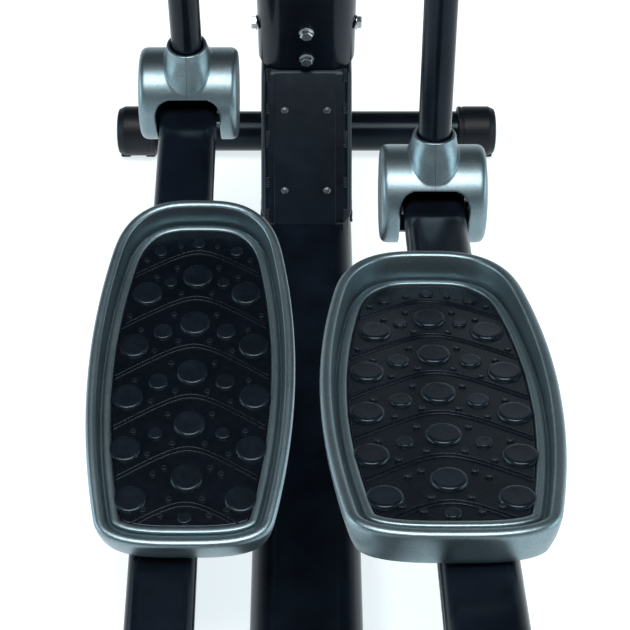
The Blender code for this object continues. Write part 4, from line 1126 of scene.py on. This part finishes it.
def housings():
    """Two hollow cover halves with a rolled rim, a ring groove and a collar round the crank's axle."""
    crank = joint_at["crank_spin"]
    axle = at(0, crank.y, crank.z) @ ALONG_X
    rail_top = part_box("main_rail")[1].z
    foot_top = rail_top + 0.042
    screws = []
    for word, side in SIDES:
        half = max(abs(corner.x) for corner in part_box("housing_" + word))
        stations = [(0.0012, SEAM / 2), (0.0012, 0.0011), (0.0, 0.0018), (0.0, COVER_FLAT)]
        stations += [(0.016 * (1 - math.cos(t)), COVER_FLAT + (half - COVER_FLAT - 0.0012) * math.sin(t))
                     for t in (math.radians(15 * k) for k in range(1, 7))]
        stations += [(0.022, half - 0.0012), (0.023, half - 0.0024), (0.026, half - 0.0024),
                     (0.027, half - 0.0012), (0.032, half - 0.0006)]
        shell = skin([side_rings(cover_outline(depth, 200), [side * x])[0] for depth, x in stations])
        floor = COVER_FLAT - COVER_WALL
        cavity = side_rings(cover_outline(COVER_WALL, 160), sorted((-side * 0.01, side * floor)))
        deep = side_rings(cover_outline(0.020, 160), sorted((side * (floor - 0.001), side * (half - 0.0050))))
        collar = [(0, half - 0.006), (0.027, half - 0.006), (0.026, half - 0.0004), (0.0245, half), (0, half)]
        foot = block(at(0, -0.5525, (0.09 + foot_top) / 2), 0.1016, 0.343, foot_top - 0.09)
        steps = [("UNION", turned(collar, 72, axle, way=side)), ("DIFFERENCE", skin(cavity)),
                 ("DIFFERENCE", skin(deep)), ("DIFFERENCE", turned(rod(0.018, -0.1, 0.1), 72, axle)),
                 ("DIFFERENCE", foot)]
        if side > 0:
            inlet = Matrix.Translation(middle("power_inlet")) @ ALONG_Y
            steps.append(("DIFFERENCE", turned(rod(0.0064, -0.04, 0.04), 40, inlet)))
        piece("drive_cover_" + word, carved(shell, steps), GRAINED, "frame", "housing_" + word, crease=30)
        for p in cover_outline(0.0385, 7):
            if (p - Vector((crank.y, crank.z))).length > 0.035 and p.y > rail_top + 0.03:
                spot = Vector((side * (half - 0.0004), p.x, p.y))
                screws.append((facing(spot, RIGHT * side, 0.4 * len(screws)), 0.0085))
    scatter("cover_screws_drive", screws, pan_head(), SCREW_STEEL, "frame")


# Handlebar and console
def pulse_plates(path):
    """Two curved contact plates, above and below a grip."""
    mesh = None
    for start, stop in ((20, 160), (200, 340)):
        turns = [math.radians(start + (stop - start) * k / 14) for k in range(15)]
        rings = []
        for i, point in enumerate(path):
            along = (path[min(i + 1, len(path) - 1)] - path[max(i - 1, 0)]).normalized()
            up = (Vector((0, 0, 1)) - along * along.z).normalized()
            out = along.cross(up)
            outer, inner = [[point + out * radius * math.cos(t) + up * radius * math.sin(t) for t in turns]
                            for radius in (0.0168, 0.0158)]
            rings.append(outer + inner[::-1])
        mesh = skin(rings, mesh=mesh)
    return mesh


def fixed_bar():
    foot = mast_place().translation
    rear_face = foot.y - (BAR_HEIGHT - foot.z) * math.tan(MAST_LEAN) - MAST_DEPTH / 2 / math.cos(MAST_LEAN)
    y = rear_face - BAR_RADIUS - 0.005
    points = [(0.0, y, BAR_HEIGHT), (0.050, y, BAR_HEIGHT), (0.110, y - 0.012, 1.200),
              (0.145, y - 0.055, 1.225), (0.150, y - 0.105, 1.252), (0.150, y - 0.225, 1.316)]
    half = smooth_path(points, 12)
    mesh = swept([Vector((-p.x, p.y, p.z)) for p in half[:0:-1]] + half, BAR_RADIUS, 40)
    saddle = rounded_box(0.060, 0.040, 0.004, 5, (0, BAR_HEIGHT))
    slab(saddle, y - 0.004, rear_face - 0.006, 0.0012, ALONG_Y, mesh=mesh,
         shrink=lambda o, d: [Vector((p.y, p.x)) for p in inset(o, d)][::-1])
    piece("fixed_bar", mesh, ENAMEL, "frame", "fixed_handlebar")
    cap = soften([(0, -0.004), (0.0125, -0.004), (0.0125, 0.0032), (0.0155, 0.0034), (0.0155, 0.0048),
                  (0.0100, 0.0066), (0, 0.0070)], 0.001, 3, False)
    for word, side in SIDES:
        grip = [Vector((side * p.x, p.y, p.z)) for p in half[-13:]]
        end = (grip[-1] - grip[-2]).normalized()
        sleeve = swept(grip + [grip[-1] + end * 0.003], 0.0162, 48, 0.0133)
        piece("pulse_sleeve_" + word, sleeve, GRAINED, "frame", "pulse_grip_" + word)
        piece("pulse_plates_" + word, pulse_plates(grip[3:-2]), STAINLESS, "frame", crease=40)
        piece("bar_plug_" + word, turned(cap, 48, facing(grip[-1], end)), GRAINED, "frame")


DIGIT = {"0": "abcdef", "1": "bc", "2": "abged", "3": "abgcd", "4": "fgbc", "5": "afgcd", "6": "afgedc",
         "7": "abc", "8": "abcdefg"}
BARS = {"a": (0, 1, 1), "b": (0.5, 0.5, 0), "c": (0.5, -0.5, 0), "d": (0, -1, 1), "e": (-0.5, -0.5, 0),
        "f": (-0.5, 0.5, 0), "g": (0, 0, 1)}


def numeral_bars(text, x, y, height):
    """Outlines of seven-segment numerals, with the dots of a colon."""
    width = height * 0.5
    thick = height * 0.12
    outlines = []
    for sign in text:
        for name in DIGIT.get(sign, ""):
            shift, rise, flat = BARS[name]
            size = (width - thick, thick) if flat else (thick, height / 2 - thick)
            outlines.append(rounded_box(*size, thick * 0.3, 2, (x + shift * width, y + rise * height / 2)))
        if sign == ":":
            outlines += [rounded_box(thick, thick, thick * 0.3, 2, (x, y + rise * height))
                         for rise in (-0.22, 0.22)]
        x += width * (0.8 if sign == ":" else 1.5)
    return outlines


def display_ink(place):
    """The display's numerals and the thin lines between them."""
    ink = bmesh.new()
    for text, x, y, size in (("12:34", -0.052, 0.048, 0.018), ("108", 0.030, 0.048, 0.018),
                             ("5", -0.050, 0.011, 0.013), ("246", -0.016, 0.011, 0.013),
                             ("72", 0.040, 0.011, 0.013)):
        for bar in numeral_bars(text, x, y, size):
            slab(bar, 0.0, 0.00025, 0.0001, place, 1, ink)
    for width, height, x, y in ((0.0006, 0.022, -0.025, 0.011), (0.0006, 0.022, 0.022, 0.011),
                                (0.118, 0.0006, 0, 0.0285)):
        slab(rounded_box(width, height, 0.0002, 2, (x, y)), 0.0, 0.0002, 0.0001, place, 1, ink)
    return ink


def key_top(word, centre, top):
    """A dished round key, with an arrow head on the keys that go up and down."""
    profile = soften([(0, -0.0125), (0.012, -0.0125), (0.012, -0.0060), (0.0089, -0.0060), (0.0089, 0.0015),
                      (0.0050, 0.0010), (0, 0.0008)], 0.0010, 4, False)
    mesh = turned(profile, 56, at(centre.x, centre.y, top))
    way = {"up": 1, "down": -1}.get(word)
    if way:
        mark = [Vector((0.0026 * math.cos(math.radians(a)), way * 0.0026 * math.sin(math.radians(a))))
                for a in (90, 210, 330)][::way]
        slab(soften(mark, 0.0006, 3), 0.0, 0.0005, 0.0001, at(centre.x, centre.y, top + 0.0008), 1, mesh)
    return mesh


def console():
    """Two shells that meet at a grooved seam, the display's lens in its window, and five keys."""
    place = console_place()
    width, height, depth = CONSOLE_SIZE
    top = depth / 2
    seam = 0.006
    outline = rounded_box(width, height, 0.030, 14)
    rear = ((0.0095, -top), (0.0060, -top + 0.0008), (0.0030, -top + 0.0030), (0.0010, -top + 0.0065),
            (0.0, -top + 0.0110), (0.0, seam - 0.0006), (0.0006, seam), (0.0028, seam), (0.0028, -top + 0.003))
    piece("console_rear_shell", skin(layers(outline, rear)), GRAINED, "frame", "console_back", place)
    front = ((0.0028, top - 0.0035), (0.0028, seam + SEAM), (0.0006, seam + SEAM), (0.0, seam + SEAM + 0.0006),
             (0.0, top - 0.0075), (0.0006, top - 0.0045), (0.0024, top - 0.0020), (0.0052, top - 0.0006),
             (0.0085, top), (0.0125, top), (0.0135, top - 0.0007), (0.0145, top))
    window = rounded_box(0.130, 0.070, 0.006, 6, (0, 0.028))
    cutters = [skin(layers(window, ((edge, low), (edge, 0.03))))
               for edge, low in ((0.0, -0.01), (-0.0020, top - 0.0006))]
    keys = sorted(joint["child"] for joint in frame["joints"] if joint["name"].endswith("_press"))
    words = [body.removeprefix("key_") for body in keys]
    centres = [place.inverted() @ middle("button_" + word) for word in words]
    cutters += [turned(rod(radius, low, 0.03), 56, at(centre.x, centre.y, 0))
                for centre in centres for radius, low in ((0.0095, -0.01), (0.0110, top - 0.0005))]
    face = carved(skin(layers(outline, front)), [("DIFFERENCE", cutter) for cutter in cutters])
    piece("console_face", face, GRAINED, "frame", "console_front", place, 28)
    glass = slab(window, top - 0.0060, top - 0.0009, 0.0006, shrink=lambda o, d: inset(o, d + 0.0004))
    piece("display_lens", glass, LENS, "frame", "console_display", place)
    piece("display_segments", display_ink(place @ at(0, 0, top - 0.0010)), CRYSTAL, "frame")
    for body, word, centre in zip(keys, words, centres):
        finish = START_KEY if word == "start" else DARK_KEY
        piece("key_top_" + word, key_top(word, centre, top), finish, body, "button_" + word, place)
    spots = [(place @ at(x, y, -top + 0.0002) @ turn_about("X", math.pi), 0.0075)
             for x in (-0.095, 0.095) for y in (-0.055, 0.055)]
    scatter("console_screws", spots, pan_head(), SCREW_STEEL, "frame")


def dress_carried_over():
    """Finishes for the CAD nodes that show as they are: parts of the drive and the axles."""
    axles = ["pivot_axle", "link_axle_left", "link_axle_right", "crank_axle", "flywheel_axle", "idler_bolt"]
    for finish, names in ((ZINC, axles), (ENAMEL, ["drive_bracket"]), (IRON, ["flywheel"]),
                          (TYRE_RUBBER, ["drive_belt"]),
                          (SATIN, ["drive_pulley", "idler_pulley", "brake_magnet", "power_inlet"])):
        for name in names:
            slots = nodes[name].data.materials
            if not slots:
                slots.append(finish)
            for i in range(len(slots)):
                slots[i] = finish


# Studio
def studio_surroundings():
    """White walls up to a little above the horizon and a dark ceiling, as round a product table."""
    world = bpy.data.worlds.new("studio")
    world.use_nodes = True
    tree = world.node_tree
    towards = add_node(tree, "ShaderNodeTexCoord").outputs["Generated"]
    height = add_node(tree, "ShaderNodeSeparateXYZ", {0: towards}).outputs["Z"]
    background = tree.nodes["Background"].inputs
    shade = add_node(tree, "ShaderNodeValToRGB", {"Fac": height}, ((0.10, "e6eef2"), (0.46, "1b2027")))
    tree.links.new(shade.outputs["Color"], background["Color"])
    background["Strength"].default_value = 0.9
    return world


def studio():
    floor = bmesh.new()
    bmesh.ops.create_grid(floor, x_segments=2, y_segments=2, size=40.0)
    data = bpy.data.meshes.new("floor")
    floor.to_mesh(data)
    floor.free()
    data.materials.append(PAPER)
    ground = lend(data, "floor")
    ground.location = (0, 0, -0.0005)
    scene.world = studio_surroundings()
    for name, place, aim, size, power, tint in (
            ("overhead", (0.0, -0.62, 3.4), (0.0, -0.40, 0.0), (2.6, 1.5), 120, "ffffff"),
            ("left_wall", (-2.8, 0.0, 1.1), (0, 0, 0.3), (2.4, 1.2), 30, "d6ecf4"),
            ("right_wall", (2.8, 0.0, 1.1), (0, 0, 0.3), (2.4, 1.2), 30, "d6ecf4")):
        light = bpy.data.lights.new(name, "AREA")
        light.shape = "RECTANGLE"
        light.size, light.size_y = size
        light.energy = power
        light.color = linear(tint)[:3]
        lamp = lend(light, name)
        lamp.location = place
        lamp.rotation_euler = (Vector(aim) - Vector(place)).to_track_quat("-Z", "Y").to_euler()
    camera = bpy.data.cameras.new("camera")
    camera.lens = 96.886
    camera.sensor_width = 36
    camera.shift_x = 0.01349
    viewer = lend(camera, "camera")
    viewer.location = (0, -0.9383, 1.3342)
    viewer.rotation_euler = (math.radians(46.626), 0, 0)
    scene.camera = viewer
    scene.view_settings.view_transform = "Standard"


for build in (stabilizers, stabilizer_caps, transport_rollers, main_rail, mast_and_socket, frame_fasteners,
              weld_beads, swing_arms, shrouds, pedal_arms, pedal_trays, pedal_mats, cranks, housings, fixed_bar,
              console, dress_carried_over, studio):
    build()
